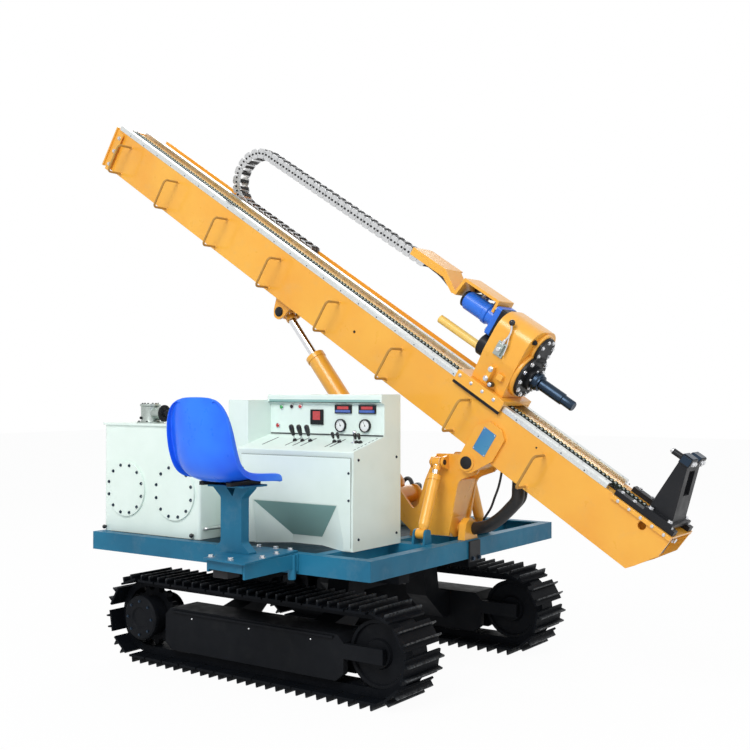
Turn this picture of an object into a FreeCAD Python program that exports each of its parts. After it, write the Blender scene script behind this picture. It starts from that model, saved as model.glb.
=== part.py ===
import FreeCAD, Part, Sketcher
import math
import os

# Crawler drilling rig: two tracks, an open deck with tank, console and seat,
# and a long mast that tilts on a rolling support. Millimetres and degrees.
# X runs forward to the drilling end, Y to the machine's left, Z up.

V = FreeCAD.Vector
document = FreeCAD.newDocument("crawler_drilling_rig")
sheet = document.addObject("Spreadsheet::Sheet", "Sizes")

# name, value, what it measures
SIZES = (
    ("centre_x", 116.81, "overall middle, measured from the middle of the tracks"),
    ("centre_y", -219.53, "overall middle, measured from the middle of the tracks"),
    ("track_length", 2110, "track over its grousers"),
    ("track_height", 500, "track over its grousers"),
    ("track_gauge", 1380, "between the middles of the two tracks"),
    ("shoe_width", 320, "one shoe, across the track"),
    ("shoe_count", 33, "shoes in one loop"),
    ("shoe_gap", 12, "light between two shoes"),
    ("shoe_thickness", 10, "plate of one shoe"),
    ("grouser_height", 28, "bar that stands on a shoe"),
    ("grouser_spacing", 64, "between the two bars of one shoe"),
    ("grouser_root", 15, "bar where it meets its plate"),
    ("grouser_tip", 8, "bar at its edge"),
    ("link_height", 42, "chain behind the shoes"),
    ("link_width", 130, "chain behind the shoes"),
    ("beam_width", 210, "side beam across the track"),
    ("beam_top", 330, "ledge of the side beam above ground"),
    ("beam_foot", 95, "lower edge of the side beam"),
    ("beam_web", 35, "each wall beside the rollers"),
    ("beam_short", 178, "from a wheel's axis back to the end of the side beam"),
    ("idler_arm", 30, "each arm of the fork that holds the idler"),
    ("roller_count", 5, "rollers under one side beam"),
    ("roller_inset", 160, "end rollers from the ends of the side beam"),
    ("roller_radius", 55, "tread of a roller"),
    ("axle_radius", 18, "axle of a roller"),
    ("hub_radius", 125, "cover of the final drive"),
    ("hub_proud", 32, "cover beyond the side beam"),
    ("drum_radius", 92, "case of the final drive"),
    ("drum_gap", 1, "light round the final drive in the side beam"),
    ("drum_motor", 52, "motor behind the final drive"),
    ("drum_reach", 70, "motor beyond the side beam"),
    ("fit_gap", 0.3, "between a wheel or a pad and its seat"),
    ("pin_gap", 0.1, "between a pin and its bore"),
    ("sprocket_teeth", 13, "teeth of a sprocket"),
    ("arch_width", 140, "each arch between the tracks, along the machine"),
    ("arch_spread", 660, "between the middles of the two arches"),
    ("rail_depth", 110, "long members on the arches"),
    ("rail_width", 100, "long members on the arches"),
    ("deck_rear", -1048, "rear face of the deck"),
    ("deck_front", 911, "front face of the deck"),
    ("deck_half", 960, "half the width of the deck"),
    ("deck_top", 742, "deck above ground"),
    ("deck_depth", 100, "height of the deck's channel"),
    ("channel_flange", 60, "flanges of the deck's channel"),
    ("channel_web", 8, "walls of the deck's channel"),
    ("plate", 8, "deck plate"),
    ("plate_front", 535, "front edge of the deck plate"),
    ("tank_rear", -1046, "rear face of the tank"),
    ("tank_front", -285, "front face of the tank"),
    ("tank_side", -878, "outer face of the tank"),
    ("tank_inside", -450, "inner face of the tank"),
    ("tank_height", 611, "tank without its lid"),
    ("lid_height", 12, "lid of the tank"),
    ("lid_lip", 12, "lid beyond the tank"),
    ("cover_radius", 155, "round cover on the tank"),
    ("cover_plate", 12, "thickness of a round cover"),
    ("cover_rise", 248, "middle of a cover above the deck"),
    ("console_left", -112, "rear end of the console"),
    ("console_right", 665, "front end of the console"),
    ("console_face", -766, "outer face of the console"),
    ("console_back", -340, "inner face of the console"),
    ("ledge_front", 1240, "ledge at its outer edge, above ground"),
    ("ledge_back", 1310, "ledge where the panel starts"),
    ("panel_foot", -490, "panel where the ledge ends"),
    ("hood_edge", -515, "edge of the hood over the panel"),
    ("hood_under", 1478, "underside of the hood"),
    ("console_top", 1530, "top of the console"),
    ("wall", 3, "sheet of doors and panels"),
    ("seat_x", 250, "middle of the seat"),
    ("seat_back", -1400, "rear of the seat shell"),
    ("seat_front", -985, "front lip of the seat shell"),
    ("seat_width", 420, "seat shell"),
    ("seat_pan", 1100, "sitting surface at its lowest"),
    ("seat_top", 1530, "top edge of the back"),
    ("shell", 6, "wall of the seat shell"),
    ("post_x", 300, "middle of the seat post"),
    ("post_y", -1180, "middle of the seat post"),
    ("post_width", 120, "seat post along the machine"),
    ("post_depth", 76, "seat post across the machine"),
    ("outrigger", 10, "plate that carries the seat post"),
    ("pivot_x", 957, "axis that the mast tilts about"),
    ("pivot_z", 1168, "axis that the mast tilts about"),
    ("mast_tilt", 32.68, "degrees that the lower end hangs down"),
    ("mast_rear", -3470, "mast from its axis to the rear end"),
    ("mast_foot", 1110, "mast from its axis to the lower end"),
    ("mast_under", 71, "from the axis up to the mast"),
    ("mast_depth", 270, "side of the mast"),
    ("mast_width", 260, "mast across"),
    ("mast_wall", 10, "plates of the mast"),
    ("slot_rear", -1760, "opening for the tilt cylinder"),
    ("slot_front", -1060, "opening for the tilt cylinder"),
    ("slot_width", 124, "opening for the tilt cylinder"),
    ("slide_width", 42, "each slide rail"),
    ("slide_height", 30, "each slide rail"),
    ("slide_proud", 3, "slide rail beyond the mast's side"),
    ("feed_pitch", 50.8, "links of the feed chain"),
    ("rung_count", 8, "bent bars on the mast's side"),
    ("rung_first", -3280, "first bar"),
    ("rung_pitch", 518.4, "between two bars"),
    ("rung_rise", 286, "upper leg of a bar"),
    ("rung_drop", 92, "lower leg of a bar"),
    ("rung_reach", 116, "how far a bar stands off"),
    ("rung_bar", 7, "radius of a bar"),
    ("cheek", 16, "plates that hang on the axis"),
    ("pin_radius", 28, "pin that the mast tilts on"),
    ("support_half", 105, "half the width of the support"),
    ("support_plate", 16, "side plates of the support"),
    ("roll_z", 800, "axis that the support rolls on"),
    ("shaft_radius", 30, "shaft that the support rolls on"),
    ("support_rear", 590, "rear end of the support's base"),
    ("support_front", 857, "front end of the support's base"),
    ("luff_x", 450, "foot of the tilt cylinder"),
    ("luff_z", 960, "foot of the tilt cylinder"),
    ("luff_pin", 25, "radius of the tilt cylinder's pins"),
    ("luff_bore", 55, "outer radius of the tilt cylinder"),
    ("luff_length", 1020, "barrel of the tilt cylinder"),
    ("luff_rod", 25, "radius of the tilt cylinder's rod"),
    ("luff_tail", 520, "rod inside the tilt cylinder"),
    ("luff_hollow", 820, "depth of the tilt cylinder's bore"),
    ("luff_eye", 42, "radius of the rod's eye"),
    ("eye_s", -1608, "eye of the tilt cylinder along the mast"),
    ("eye_n", -7, "eye of the tilt cylinder above the axis"),
    ("roll_x", 780, "plane of the two side cylinders"),
    ("roll_foot_y", 310, "foot of a side cylinder"),
    ("roll_foot_z", 795, "foot of a side cylinder"),
    ("roll_eye_y", 150, "eye of a side cylinder"),
    ("roll_eye_z", 1165, "eye of a side cylinder"),
    ("roll_bore", 30, "outer radius of a side cylinder"),
    ("roll_rod", 17, "radius of a side cylinder's rod"),
    ("roll_tail", 60, "rod inside a side cylinder"),
    ("roll_hollow", 120, "depth of a side cylinder's bore"),
    ("roll_pin", 14, "pins of a side cylinder"),
    ("roll_boss", 27, "eyes of a side cylinder"),
    ("slide_rear", -289, "rear end of the carriage"),
    ("slide_front", 66, "front end of the carriage"),
    ("carriage_half", 154, "half the width of the carriage"),
    ("skirt", 12, "side plates of the carriage"),
    ("skirt_depth", 62, "side plates of the carriage below its top"),
    ("spindle_n", 548, "drill spindle above the axis of the mast"),
    ("upper_n", 705, "upper shaft above the axis of the mast"),
    ("box_rear", -232, "rear face of the gearbox"),
    ("box_front", -22, "front edge of the gearbox"),
    ("box_radius", 132, "gearbox round the spindle"),
    ("box_upper", 92, "gearbox round the upper shaft"),
    ("motor_radius", 54, "hydraulic motor"),
    ("motor_end", -552, "rear end of the hydraulic motor"),
    ("tube_radius", 31, "drill spindle"),
    ("spindle_tip", 302, "end of the drill spindle"),
    ("clamp_foot", 26, "runners under the rod clamp"),
    ("trough_wall", 4, "sheet of the hose chain's trough"),
    ("trough_drop", 34, "trough's floor below the mast's top"),
    ("trough_height", 48, "side walls of the trough"),
    ("chain_inner", 166, "near face of the hose chain"),
    ("chain_width", 90, "hose chain"),
    ("chain_height", 64, "hose chain"),
    ("chain_top", 728, "upper face of the hose chain's free run"),
    ("chain_rear", -2420, "middle of the hose chain's bend"),
    ("chain_head", -1000, "hose chain's end at the head"),
)


class Size:
    """A length: its expression on the sheet, and its value now."""

    def __init__(self, text, value):
        self.text = text
        self.value = value

    def joined(self, sign, other, value):
        return Size(f"({self.text} {sign} {other.text})", value)

    def __add__(self, other):
        other = size(other)
        return self.joined("+", other, self.value + other.value)

    def __sub__(self, other):
        other = size(other)
        return self.joined("-", other, self.value - other.value)

    def __mul__(self, other):
        other = size(other)
        return self.joined("*", other, self.value * other.value)

    def __truediv__(self, other):
        other = size(other)
        return self.joined("/", other, self.value / other.value)

    def __neg__(self):
        return Size(f"(0 - {self.text})", -self.value)

    def __radd__(self, other):
        return size(other) + self

    def __rsub__(self, other):
        return size(other) - self

    def __rmul__(self, other):
        return size(other) * self


def size(value):
    """A plain number is taken as a size of its own."""
    return value if isinstance(value, Size) else Size(repr(value), value)


class Sheet:
    """The driving sizes by name."""


d = Sheet()
for row, (name, value, note) in enumerate(SIZES, start=1):
    sheet.set(f"A{row}", name)
    sheet.set(f"B{row}", str(value))
    sheet.set(f"C{row}", note)
    sheet.setAlias(f"B{row}", name)
    setattr(d, name, Size(f"Sizes.{name}", value))
document.recompute()

PLANES = {"XY": ("XY_Plane", 1), "XZ": ("XZ_Plane", -1), "YZ": ("YZ_Plane", 1)}
SIDES = (("right", -1), ("left", 1))
bodies = []


def bind(thing, what, amount):
    thing.setExpression(what, size(amount).text)


def new_body(label):
    body = document.addObject("PartDesign::Body", "Body")
    body.Label = label
    bodies.append(body)
    return body


def fix_point(sketch, curve, end, u, v):
    for kind, amount in (("DistanceX", u), ("DistanceY", v)):
        amount = size(amount)
        rule = sketch.addConstraint(
            Sketcher.Constraint(kind, -1, 1, curve, end, amount.value))
        sketch.setExpression(f"Constraints[{rule}]", amount.text)


def fix_radius(sketch, curve, radius):
    radius = size(radius)
    rule = sketch.addConstraint(Sketcher.Constraint("Radius", curve, radius.value))
    sketch.setExpression(f"Constraints[{rule}]", radius.text)


def circle(u, v, radius):
    """A full circle in an outline list."""
    return ("circle", u, v, radius)


def add_circle(sketch, u, v, radius):
    middle = V(size(u).value, size(v).value, 0)
    curve = sketch.addGeometry(Part.Circle(middle, V(0, 0, 1), size(radius).value))
    fix_point(sketch, curve, 3, u, v)
    fix_radius(sketch, curve, radius)


def add_polygon(sketch, corners):
    """Closed outline; a corner with a third value is rounded to that radius."""
    count = len(corners)
    at = [V(size(c[0]).value, size(c[1]).value, 0) for c in corners]
    ends = []
    for i, corner in enumerate(corners):
        before = (at[i - 1] - at[i]).normalize()
        after = (at[(i + 1) % count] - at[i]).normalize()
        if len(corner) < 3:
            ends.append((at[i], at[i], None))
            continue
        radius = size(corner[2]).value
        half = before.getAngle(after) / 2
        back = radius / math.tan(half)
        middle = at[i] + (before + after).normalize() * (radius / math.sin(half))
        ends.append((at[i] + before * back, at[i] + after * back, middle))
    lines = []
    for i in range(count):
        edge = Part.LineSegment(ends[i][1], ends[(i + 1) % count][0])
        lines.append(sketch.addGeometry(edge))
    for i, corner in enumerate(corners):
        arrive, leave, middle = ends[i]
        line_in, line_out = lines[i - 1], lines[i]
        if middle is None:
            sketch.addConstraint(
                Sketcher.Constraint("Coincident", line_in, 2, line_out, 1))
            fix_point(sketch, line_out, 1, corner[0], corner[1])
            continue
        radius = size(corner[2]).value
        first, last = arrive - middle, leave - middle
        turn_left = first.cross(last).z > 0
        if not turn_left:
            first, last = last, first
        start = math.atan2(first.y, first.x)
        stop = math.atan2(last.y, last.x)
        arc = sketch.addGeometry(
            Part.ArcOfCircle(Part.Circle(middle, V(0, 0, 1), radius), start, stop))
        tip = sketch.addGeometry(Part.Point(at[i]), True)
        arc_in, arc_out = (1, 2) if turn_left else (2, 1)
        sketch.addConstraint(Sketcher.Constraint("Tangent", line_in, 2, arc, arc_in))
        sketch.addConstraint(Sketcher.Constraint("Tangent", line_out, 1, arc, arc_out))
        sketch.addConstraint(Sketcher.Constraint("PointOnObject", tip, 1, line_in))
        sketch.addConstraint(Sketcher.Constraint("PointOnObject", tip, 1, line_out))
        fix_point(sketch, tip, 1, corner[0], corner[1])
        fix_radius(sketch, arc, corner[2])


def draw(body, plane, loops, low):
    """A sketch on one of the body's planes, raised by low along its axis."""
    role, sign = PLANES[plane]
    sketch = body.newObject("Sketcher::SketchObject", "Outline")
    face = [o for o in body.Origin.OriginFeatures if o.Role == role][0]
    sketch.AttachmentSupport = [(face, "")]
    sketch.MapMode = "FlatFace"
    bind(sketch, "AttachmentOffset.Base.z", size(low) * sign)
    for loop in loops:
        if loop[0] == "circle":
            add_circle(sketch, *loop[1:])
        else:
            add_polygon(sketch, loop)
    return sketch


def pad(body, plane, loops, low, high):
    """Adds what the outlines sweep from low to high."""
    feature = body.newObject("PartDesign::Pad", "Pad")
    feature.Profile = draw(body, plane, loops, low)
    feature.Reversed = plane == "XZ"
    bind(feature, "Length", size(high) - low)
    body.Tip = feature
    return feature


def pocket(body, plane, loops, low, high):
    """Takes away what the outlines sweep from low to high."""
    feature = body.newObject("PartDesign::Pocket", "Pocket")
    feature.Profile = draw(body, plane, loops, low)
    feature.Reversed = plane != "XZ"
    bind(feature, "Length", size(high) - low)
    body.Tip = feature
    return feature


def turn(body, plane, profile):
    """Turns an outline of (along, radius) points round the plane's first axis."""
    feature = body.newObject("PartDesign::Revolution", "Turned")
    sketch = draw(body, plane, [profile], 0)
    feature.Profile = sketch
    feature.ReferenceAxis = (sketch, ["H_Axis"])
    feature.Angle = 360
    body.Tip = feature
    return feature


def box(x0, x1, y0, y1):
    """Four corners of a rectangle in a sketch."""
    return [(x0, y0), (x1, y0), (x1, y1), (x0, y1)]


def place(body, x=0, y=0, z=0, turned=None):
    """Sets the body down in the machine, whose middle is the part's origin."""
    base = V(size(x).value - d.centre_x.value, size(y).value - d.centre_y.value,
             size(z).value)
    body.Placement = FreeCAD.Placement(base, turned or FreeCAD.Rotation())


def on_mast(body):
    """Mast parts are drawn with X along the mast and Z out of its top."""
    turned = FreeCAD.Rotation(V(0, 1, 0), d.mast_tilt.value)
    place(body, d.pivot_x, 0, d.pivot_z, turned)


def along(start, stop):
    """The turn that lays a body's X axis from start to stop, in a vertical plane."""
    return FreeCAD.Rotation(V(1, 0, 0), stop - start)


# Tracks: one closed loop each, with its shoes in the outline

def loop_band(radius_out, radius_in, half, width):
    """The chain behind the shoes, as a flat ring with round ends."""
    rings = []
    for radius in (radius_out, radius_in):
        top, low = radius, -radius
        edges = [
            Part.LineSegment(V(-half, 0, low), V(half, 0, low)).toShape(),
            Part.Arc(V(half, 0, low), V(half + radius, 0, 0), V(half, 0, top)).toShape(),
            Part.LineSegment(V(half, 0, top), V(-half, 0, top)).toShape(),
            Part.Arc(V(-half, 0, top), V(-half - radius, 0, 0), V(-half, 0, low)).toShape(),
        ]
        rings.append(Part.Wire(edges))
    face = Part.Face(rings[0]).cut(Part.Face(rings[1]))
    band = face.extrude(V(0, width, 0))
    band.translate(V(0, -width / 2, 0))
    return band


def loop_place(distance, radius, half):
    """Place on the chain's middle line, and the direction that it runs there."""
    straight = 2 * half
    bend = math.pi * radius
    distance = distance % (2 * straight + 2 * bend)
    if distance < straight:
        return V(-half + distance, 0, -radius), 0.0
    distance -= straight
    if distance < bend:
        turned = distance / radius
        return V(half + radius * math.sin(turned), 0, -radius * math.cos(turned)), turned
    distance -= bend
    if distance < straight:
        return V(half - distance, 0, radius), math.pi
    turned = (distance - straight) / radius
    return (V(-half - radius * math.sin(turned), 0, radius * math.cos(turned)),
            math.pi + turned)


def shoe(pitch):
    """One shoe with its two bars, seen from the side; outward is down."""
    half = (pitch - d.shoe_gap.value) / 2
    top = d.link_height.value / 2 - 2
    plate = d.link_height.value / 2 + d.shoe_thickness.value
    tip = plate + d.grouser_height.value
    outline = [(-half, top), (-half, plate)]
    for side in (-1, 1):
        middle = side * d.grouser_spacing.value / 2
        outline += [
            (middle - d.grouser_root.value / 2, plate),
            (middle - d.grouser_tip.value / 2, tip),
            (middle + d.grouser_tip.value / 2, tip),
            (middle + d.grouser_root.value / 2, plate),
        ]
    outline += [(half, plate), (half, top)]
    corners = [V(u, -d.shoe_width.value / 2, -w) for u, w in outline]
    face = Part.Face(Part.makePolygon(corners + corners[:1]))
    return face.extrude(V(0, d.shoe_width.value, 0))


def tracks():
    tip = d.track_height.value / 2
    middle = (tip - d.grouser_height.value - d.shoe_thickness.value
              - d.link_height.value / 2)
    half = d.track_length.value / 2 - tip
    length = 4 * half + 2 * math.pi * middle
    count = int(d.shoe_count.value)
    pitch = length / count
    loop = loop_band(middle + d.link_height.value / 2, middle - d.link_height.value / 2,
                     half, d.link_width.value)
    shoes = []
    for i in range(count):
        where, turned = loop_place(i * pitch, middle, half)
        one = shoe(pitch)
        one.Placement = FreeCAD.Placement(
            where, FreeCAD.Rotation(V(0, 1, 0), -math.degrees(turned)))
        shoes.append(one)
    loop = loop.fuse(shoes).removeSplitter()
    for side, sign in SIDES:
        track = document.addObject("Part::Feature", "Track")
        track.Shape = loop
        track.Label = f"track_{side}"
        place(track, 0, sign * d.track_gauge.value / 2, tip)
        bodies.append(track)


track_middle = d.track_height / 2
wheel_x = d.track_length / 2 - d.track_height / 2
wheel_radius = (d.track_height / 2 - d.grouser_height - d.shoe_thickness
                - d.link_height - d.fit_gap)
beam_reach = wheel_x - d.beam_short
roller_z = (d.grouser_height + d.shoe_thickness + d.link_height + d.fit_gap
            + d.roller_radius)


def side_beam(side, sign):
    """Welded beam inside a track, open below for its rollers, forked in front."""
    body = new_body(f"track_beam_{side}")
    half = d.beam_width / 2
    reach = beam_reach
    outline = [
        (-reach, d.beam_foot + 40), (50 - reach, d.beam_foot),
        (reach - 50, d.beam_foot), (reach, d.beam_foot + 40),
        (reach, d.beam_top - 40), (reach - 40, d.beam_top),
        (40 - reach, d.beam_top), (-reach, d.beam_top - 40),
    ]
    pad(body, "XZ", [outline], -half, half)
    channel = box(-reach - 5, reach + 5, d.beam_foot - 5, roller_z + d.roller_radius + 18)
    pocket(body, "XZ", [channel], d.beam_web - half, half - d.beam_web)
    arm = box(reach - 60, wheel_x + 60, track_middle - 38, track_middle + 38)
    for low, high in ((-half, d.idler_arm - half), (half - d.idler_arm, half)):
        pad(body, "XZ", [arm], low, high)
    cheek = box(-wheel_x - 120, 60 - reach, track_middle - 115, d.beam_top - 20)
    drum = circle(-wheel_x, track_middle, d.drum_radius + d.drum_gap)
    inner = (-half, 25 - half) if sign > 0 else (half - 25, half)
    pad(body, "XZ", [cheek, drum], *inner)
    place(body, 0, sign * d.track_gauge.value / 2, 0)


def sprocket_teeth():
    """Toothed outline; the teeth stand just inside the chain."""
    count = int(d.sprocket_teeth.value)
    root = wheel_radius - 24
    outline = []
    for i in range(count):
        for step, radius in ((-0.30, root), (-0.13, wheel_radius), (0.13, wheel_radius),
                             (0.30, root)):
            angle = (i + step) * 2 * math.pi / count
            outline.append((radius * math.cos(angle), radius * math.sin(angle)))
    return outline


def final_drive(side, sign):
    """Sprocket on its drive: round outer cover, case and inner motor."""
    body = new_body(f"final_drive_{side}")
    half = d.beam_width / 2
    profile = [
        (-half - d.drum_reach, 0), (-half - d.drum_reach, d.drum_motor - 8),
        (8 - half - d.drum_reach, d.drum_motor), (-half - 12, d.drum_motor),
        (-half - 12, d.drum_radius + 20), (-half - d.fit_gap, d.drum_radius + 20),
        (-half - d.fit_gap, d.drum_radius), (30, d.drum_radius), (30, d.hub_radius - 12),
        (half, d.hub_radius - 12), (half, d.hub_radius), (half + d.hub_proud - 8, d.hub_radius),
        (half + d.hub_proud, d.hub_radius - 10), (half + d.hub_proud, d.hub_radius / 2),
        (half + d.hub_proud - 8, d.hub_radius / 2 - 8), (half + d.hub_proud - 8, 0),
    ]
    turn(body, "XZ", profile)
    pad(body, "YZ", [sprocket_teeth()], -22, 22)
    turned = FreeCAD.Rotation(V(0, 0, 1), 90 * sign)
    place(body, -wheel_x, sign * d.track_gauge.value / 2, track_middle, turned)


def idler(side, sign):
    """Front wheel with its axle in the fork."""
    body = new_body(f"idler_{side}")
    arm = d.beam_width / 2 - d.idler_arm - d.fit_gap
    profile = [
        (-arm, 0), (-arm, 30), (-58, 30), (-58, 70), (-40, 78), (-40, wheel_radius - 22),
        (-56, wheel_radius - 16), (-56, wheel_radius), (56, wheel_radius),
        (56, wheel_radius - 16), (40, wheel_radius - 22), (40, 78), (58, 70), (58, 30),
        (arm, 30), (arm, 0),
    ]
    turn(body, "XZ", profile)
    place(body, wheel_x, sign * d.track_gauge.value / 2, track_middle,
          FreeCAD.Rotation(V(0, 0, 1), 90))


def rollers(side, sign):
    """Rollers with their axles, under the side beam."""
    body = new_body(f"rollers_{side}")
    inner = d.beam_width / 2 - d.beam_web
    tread = d.link_width / 2 - 4
    count = int(d.roller_count.value)
    reach = beam_reach - d.roller_inset
    for i in range(count):
        x = reach * (2 * i / (count - 1) - 1)
        pad(body, "XZ", [circle(x, roller_z, d.roller_radius)], -tread, tread)
        pad(body, "XZ", [circle(x, roller_z, d.axle_radius)], -inner, inner)
    place(body, 0, sign * d.track_gauge.value / 2, 0)


def undercarriage():
    """Two arches tie the side beams together and carry two long members."""
    body = new_body("undercarriage_frame")
    side = (d.track_gauge - d.beam_width) / 2
    under = d.deck_top - d.deck_depth
    arch = [
        (-side, 170), (-side, 320), (-470, 350), (-430, under - 60), (-430, under),
        (430, under), (430, under - 60), (470, 350), (side, 320), (side, 170),
        (side - 60, 170), (330, 330), (300, 460), (-300, 460), (-330, 330),
        (60 - side, 170),
    ]
    for x in (-d.arch_spread / 2, d.arch_spread / 2):
        pad(body, "YZ", [arch], x - d.arch_width / 2, x + d.arch_width / 2)
    for y in (-360, 360):
        member = box(y - d.rail_width / 2, y + d.rail_width / 2, under - d.rail_depth, under)
        pad(body, "YZ", [member], -700, 700)
    place(body)


# Deck with what stands on it

MEMBERS_ACROSS = (-650, -310, 100, 565)
member_half = 30


def deck_frame():
    """Channel round the edge, flat face out, with members across and two along."""
    body = new_body("deck_frame")
    low = d.deck_top - d.deck_depth
    outer = box(d.deck_rear, d.deck_front, -d.deck_half, d.deck_half)
    rim = d.channel_flange
    inner = box(d.deck_rear + rim, d.deck_front - rim, rim - d.deck_half,
                d.deck_half - rim)
    pad(body, "XY", [outer, inner], low, d.deck_top)
    web = d.channel_web
    lip = box(d.deck_rear + web, d.deck_front - web, web - d.deck_half,
              d.deck_half - web)
    pocket(body, "XY", [lip], low + web, d.deck_top - web)
    under_plate = d.deck_top - d.plate
    for x in MEMBERS_ACROSS:
        top = under_plate if x < 500 else d.deck_top
        bar = box(x - member_half, x + member_half, web - d.deck_half, d.deck_half - web)
        pad(body, "XY", [bar], low, top)
    for y in (-d.roll_foot_y, d.roll_foot_y):
        bar = box(565, d.deck_front - web, y - 40, y + 40)
        pad(body, "XY", [bar], low, d.deck_top)
    place(body)


def deck_plate():
    """Floor between the rear of the deck and the mast's support."""
    body = new_body("deck_plate")
    rim = d.channel_flange
    floor = box(d.deck_rear + rim, d.plate_front, rim - d.deck_half, d.deck_half - rim)
    pad(body, "XY", [floor], d.deck_top - d.plate, d.deck_top)
    place(body)


def tank_outline(lip, corner):
    return [(d.tank_rear - lip, d.tank_side - lip, corner),
            (d.tank_front + lip, d.tank_side - lip, corner),
            (d.tank_front + lip, d.tank_inside + lip, corner),
            (d.tank_rear - lip, d.tank_inside + lip, corner)]


def tank():
    """Oil tank with rounded upright edges and an overhanging lid."""
    body = new_body("tank")
    top = d.deck_top + d.tank_height
    pad(body, "XY", [tank_outline(0, 18)], d.deck_top, top)
    pad(body, "XY", [tank_outline(d.lid_lip, 22)], top, top + d.lid_height)
    place(body)


def tank_covers():
    """Two bolted round covers on the outer face."""
    body = new_body("tank_covers")
    z = d.deck_top + d.cover_rise
    face = d.tank_side
    quarter = (d.tank_front - d.tank_rear) / 4 + 4
    middle = (d.tank_front + d.tank_rear) / 2
    for x in (middle - quarter, middle + quarter):
        pad(body, "XZ", [circle(x, z, d.cover_radius)], face - d.cover_plate, face)
        bolts = []
        for i in range(12):
            angle = math.radians(30 * i + 15)
            bolts.append(circle(x + (d.cover_radius - 16) * math.cos(angle),
                                z + (d.cover_radius - 16) * math.sin(angle), 6))
        pad(body, "XZ", bolts, face - d.cover_plate - 5, face - d.cover_plate)
    place(body)


def filler():
    """Breather can with a side flange, on the lid."""
    body = new_body("filler_breather")
    profile = [(0, 0), (0, 62), (10, 62), (10, 48), (70, 48), (70, 58), (84, 58),
               (84, 52), (104, 46), (104, 20), (112, 14), (112, 0)]
    turn(body, "XZ", profile)
    pad(body, "XY", [circle(50, 0, 30)], 40, 62)
    pad(body, "XY", [circle(50, 0, 42)], 62, 74)
    place(body, -760, -790, d.deck_top + d.tank_height + d.lid_height,
          FreeCAD.Rotation(V(0, 1, 0), -90))


def console():
    """Sheet cabinet: sloping ledge, panel recess under a hood, foot recess."""
    body = new_body("console_cabinet")
    side = [
        (d.console_face, d.deck_top), (d.console_face, d.ledge_front, 6),
        (d.panel_foot, d.ledge_back), (d.panel_foot, d.hood_under),
        (d.hood_edge, d.hood_under + 8), (d.hood_edge, d.console_top, 10),
        (d.console_back, d.console_top, 8), (d.console_back, d.deck_top),
    ]
    pad(body, "YZ", [side], d.console_left, d.console_right)
    x0, x1 = d.console_left, d.console_right
    recess = [(x0 + 70, d.deck_top - 1), (x1 - 130, d.deck_top - 1),
              (x1 - 130, d.deck_top + 52), (x1 - 95, d.deck_top + 190),
              (x0 + 40, d.deck_top + 190), (x0 + 70, d.deck_top + 52)]
    pocket(body, "XZ", [recess], d.console_face, d.console_face + 190)
    place(body)


def console_door():
    """Flat front door above the foot recess."""
    body = new_body("console_door")
    door = box(d.console_left + 22, d.console_right - 22, d.deck_top + 205,
               d.ledge_front - 32)
    pad(body, "XZ", [door], d.console_face - d.wall, d.console_face)
    place(body)


# where along the panel, how high above its foot, radius, depth
DIALS = (
    (-215, 92, 16, 12), (-215, 40, 18, 14), (-140, 92, 11, 10), (-100, 92, 11, 10),
    (118, 46, 34, 16), (232, 46, 34, 16),
)
# where along the panel, how high above its foot, width, height
DISPLAYS = ((0, 66, 66, 66), (128, 122, 96, 44), (246, 122, 96, 44))


def instrument_panel():
    """Panel with its dials, lamps and displays."""
    body = new_body("instrument_panel")
    middle = (d.console_left + d.console_right) / 2
    face = d.panel_foot - d.wall
    foot = d.ledge_back + 6
    sheet_face = box(d.console_left + 14, d.console_right - 14, foot, d.hood_under - 8)
    pad(body, "XZ", [sheet_face], face, d.panel_foot)
    for x, rise, radius, depth in DIALS:
        pad(body, "XZ", [circle(middle + x, foot + rise, radius)], face - depth, face)
    for x, rise, width, height in DISPLAYS:
        frame = box(middle + x - width / 2, middle + x + width / 2,
                    foot + rise - height / 2, foot + rise + height / 2)
        pad(body, "XZ", [frame], face - 10, face)
    place(body)


LEVERS = (-170, -128, -86, -10, 40, 128)


def levers():
    """Lever stems with knobs, standing out of the sloping ledge."""
    body = new_body("console_levers")
    middle = (d.console_left + d.console_right) / 2
    slope = (d.ledge_back - d.ledge_front) / (d.panel_foot - d.console_face)
    y = d.panel_foot - 90
    seat = d.ledge_back + slope * (y - d.panel_foot)
    for x in LEVERS:
        pad(body, "XY", [circle(middle + x, y, 7)], seat + 2.1, seat + 62)
        pad(body, "XY", [circle(middle + x, y, 13)], seat + 62, seat + 92)
    place(body)


def side_cabinet():
    """Narrow cabinet behind the console's rear end."""
    body = new_body("valve_cabinet")
    outline = [(d.console_left - 150, d.console_back - 130, 12),
               (d.console_left, d.console_back - 130),
               (d.console_left, d.console_back), (d.console_left - 150, d.console_back, 12)]
    pad(body, "XY", [outline], d.deck_top, d.console_top - 30)
    place(body)


def seat_outrigger():
    """Plate and box beam that carry the seat beside the deck."""
    body = new_body("seat_outrigger")
    top = d.deck_top + d.outrigger
    edge = -d.deck_half
    x0, x1 = d.post_x - 160, d.post_x + 140
    pad(body, "XY", [box(x0, x1, d.post_y - 180, edge + 110)], d.deck_top, top)
    beam = box(d.post_x - 60, d.post_x + 60, d.post_y - 150, edge - 12)
    pad(body, "XY", [beam], d.deck_top - 80, d.deck_top)
    pad(body, "XY", [box(x0, x1, edge - 12, edge)], d.deck_top - 85, d.deck_top)
    place(body)


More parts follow.
